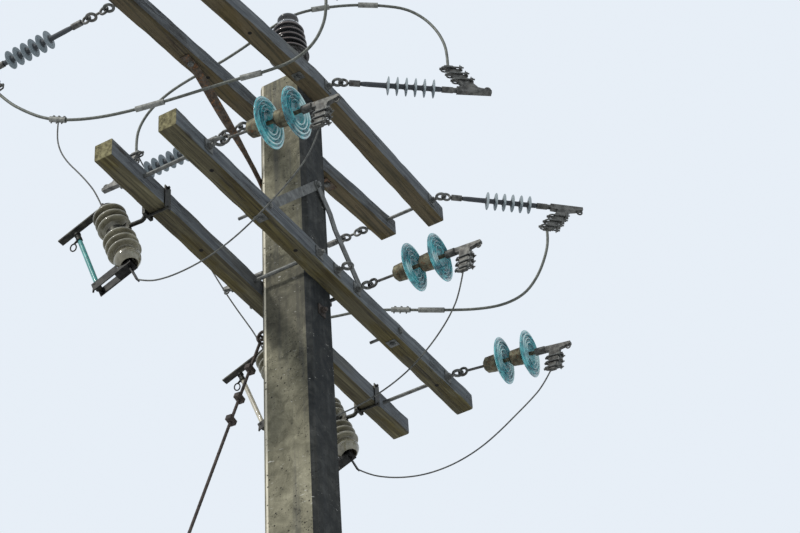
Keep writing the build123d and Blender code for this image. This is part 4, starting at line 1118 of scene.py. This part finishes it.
class POLE_OT_timber(bpy.types.Operator):
    """Arms with worn edges, and the twisted bars of the upper brace"""

    bl_idname = "pole.timber"
    bl_label = "Arms and upper brace"
    # Where a bolt comes out under an arm: x, y and arm bottom
    WASHERS = (
        (-598.0, LOWER_FRONT, LOWER_ARM),
        (610.0, LOWER_FRONT, LOWER_ARM),
        (-202.0, -178.5, UPPER_ARM),
    )

    def execute(self, context):
        for seed, (name, (plan, side, bottom)) in enumerate(ARMS.items()):
            self.arm(name, np.array(plan), side, bottom, seed)
        self.upper_brace()
        self.washers()
        return {"FINISHED"}

    def washers(self):
        """Square washers with a nut under the lower front arm and the upper one."""
        nut = [(-2, 0), (-2, 8), (2, 8), (2, 15), (12, 15), (12, 0)]
        shapes = []
        for x, y, z in self.WASHERS:
            place = upright_place((x, y, z - 16.0))
            shapes += [block((12.0, -27.0, -27.0), (16.2, 27.0, 27.0), place), turned(nut, place, 6)]
        piece("arm_washers", joined(shapes), "galvanised", smooth=False)

    @staticmethod
    def arm(name, plan, side, bottom, seed):
        """Square section swept along the plan, its corners worn by an uneven depth."""
        half, half_diagonal = ARM_SIZE / 2, 70.7
        station, end_bevel, wear_reach = 9.0, 1.5, 9.0
        corner = [(3.0, 0.0), (1.2, 0.35), (0.35, 1.2), (0.0, 3.0)]
        edge = np.array(corner + [(0.0, y) for y in np.linspace(8, 92, 11)])
        loop = edge
        for _ in range(3):
            edge = np.column_stack([edge[:, 1], ARM_SIZE - edge[:, 0]])
            loop = np.vstack([loop, edge])
        low, high = plan[0, 0], plan[-1, 0]
        between = np.arange(low, high, station)[1:]
        x = np.concatenate([[low, low + end_bevel], between, [high - end_bevel, high]])
        inner = np.interp(x, plan[:, 0], plan[:, 1])
        inset = np.zeros(len(x))
        inset[[0, -1]] = end_bevel
        shrink = 1 - inset[:, None] / half
        u, v = (half + (np.tile(loop[:, k], (len(x), 1)) - half) * shrink for k in (0, 1))
        along = np.repeat(x[:, None], len(loop), 1)
        points = np.stack([along, inner[:, None] + side * u, bottom + v], -1).reshape(-1, 3) * MM
        to_corner = np.minimum(u, ARM_SIZE - u).ravel() + np.minimum(v, ARM_SIZE - v).ravel()
        wear = np.clip(1.0 - to_corner / wear_reach, 0.0, 1.0)
        patchy = np.clip(uneven(points * [0.35, 1.0, 1.0], seed, 38.0), 0.0, 2.0)
        depth = look().edge_wear * (0.35 + patchy)
        pull = np.stack([np.zeros(len(wear)), side * (half - u.ravel()), half - v.ravel()], 1)
        points = points + pull / half_diagonal * (wear * depth)[:, None]
        middles = points.reshape(len(x), len(loop), 3)[[0, -1]].mean(1)
        skin, faces = capped(points, middles, len(loop))
        if side > 0:
            faces = [group[:, ::-1] for group in faces]
        made = piece(name + "_worn", (skin, faces), "timber", smooth=False)
        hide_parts(name)

    @staticmethod
    def upper_brace():
        """Two flat bars, each turned a quarter on its way from the pole to the arm above."""
        quarter = np.array([(25, -1.6), (25, 1.6), (23.6, 3), (-23.6, 3)])
        section = np.vstack([quarter, -quarter])
        ends = np.array([[7, 6, 5, 4], [7, 4, 3, 0], [0, 3, 2, 1]])
        shapes = []
        for side, seat, foot_y in ((-1, 140.4, 225.6), (1, 146.4, 153.1)):
            path = [
                (-side * 18.0, seat, 9042.0),
                (side * 159.0, seat, 9219.0),
                (side * 546.0, foot_y, 9638.0),
                (side * 566.0, foot_y, 9652.4),
                (side * 660.0, foot_y, 9652.4),
            ]
            line, at = even_steps(rounded(np.array(path) * MM), 0.008)
            way = unit(np.gradient(line, axis=0))
            share = np.clip((at - 0.26) / (at[-1] - 0.4), 0.0, 1.0)
            turn = (share * share * (3 - 2 * share) * np.pi / 2)[:, None]
            flat, foot = np.array([0.707, 0.0, -0.707 * side]), np.array([0.0, side, 0.0])
            across = np.cos(turn) * flat + np.sin(turn) * foot
            across = unit(across - way * (across * way).sum(1)[:, None])
            through = np.cross(way, across)
            ring = section[None, :, :1] * across[:, None] + section[None, :, 1:] * through[:, None]
            points = (line[:, None] + ring * MM).reshape(-1, 3)
            last = len(points) - 8
            shapes.append((points, [quads(len(line), 8), ends, ends[:, ::-1] + last]))
        made = piece("upper_brace_bars", joined(shapes), "brown_bar", smooth=False)
        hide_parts("upper_braces")


class POLE_OT_stay(bpy.types.Operator):
    """Seven strand stay wire"""

    bl_idname = "pole.stay"
    bl_label = "Stay wire"
    # Lean from the vertical and heading in degrees, and the eye that the stay starts from
    LEAN, HEADING = 18.3, 160.0
    EYE = (0.0, 204.96, 8240.0)
    # What the eye and the anchor take up at its two ends, in millimetres
    TOP_GAP, FOOT_GAP = 60.0, 450.0

    def execute(self, context):
        lean, heading = math.radians(self.LEAN), math.radians(self.HEADING)
        level = math.sin(lean)
        way = np.array([level * math.cos(heading), level * math.sin(heading), -math.cos(lean)])
        span = self.EYE[2] / math.cos(lean)
        first, last = (np.array(self.EYE) + way * run for run in (self.TOP_GAP, span - self.FOOT_GAP))
        line = np.linspace(first * MM, last * MM, 400)
        shape = stranded(line, 8.0 * MM, strands=7, lay=0.19, around=42, step=0.012, groove=0.16)
        made = piece("stay_strand", shape, "stay")
        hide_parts("stay_wire")
        return {"FINISHED"}


PIECES = (
    POLE_OT_stage,
    POLE_OT_dress,
    POLE_OT_cords,
    POLE_OT_polymer,
    POLE_OT_glass,
    POLE_OT_porcelain,
    POLE_OT_carriers,
    POLE_OT_clamps,
    POLE_OT_timber,
    POLE_OT_stay,
)


class POLE_PT_panel(bpy.types.Panel):
    """Sizes, colours and pieces of the dressed pole"""

    bl_idname = "POLE_PT_panel"
    bl_label = "Utility pole"
    bl_space_type = "VIEW_3D"
    bl_region_type = "UI"
    bl_category = "Pole"

    def draw(self, context):
        column = self.layout.column()
        for key in PoleLook.__annotations__:
            column.prop(look(), key)
        for each in PIECES:
            column.operator(each.bl_idname)


CLASSES = (PoleLook, *PIECES, POLE_PT_panel)


def register():
    for each in CLASSES:
        bpy.utils.register_class(each)
    bpy.types.Scene.pole_look = bpy.props.PointerProperty(type=PoleLook)


def unregister():
    del bpy.types.Scene.pole_look
    for each in reversed(CLASSES):
        bpy.utils.unregister_class(each)


def main():
    """Registers the add-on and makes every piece."""
    register()
    make_finishes()
    bpy.ops.pole.stage()
    bpy.ops.pole.dress()
    bpy.ops.pole.cords()
    bpy.ops.pole.polymer()
    bpy.ops.pole.glass()
    bpy.ops.pole.porcelain()
    bpy.ops.pole.carriers()
    bpy.ops.pole.clamps()
    bpy.ops.pole.timber()
    bpy.ops.pole.stay()


if __name__ == "__main__":
    main()
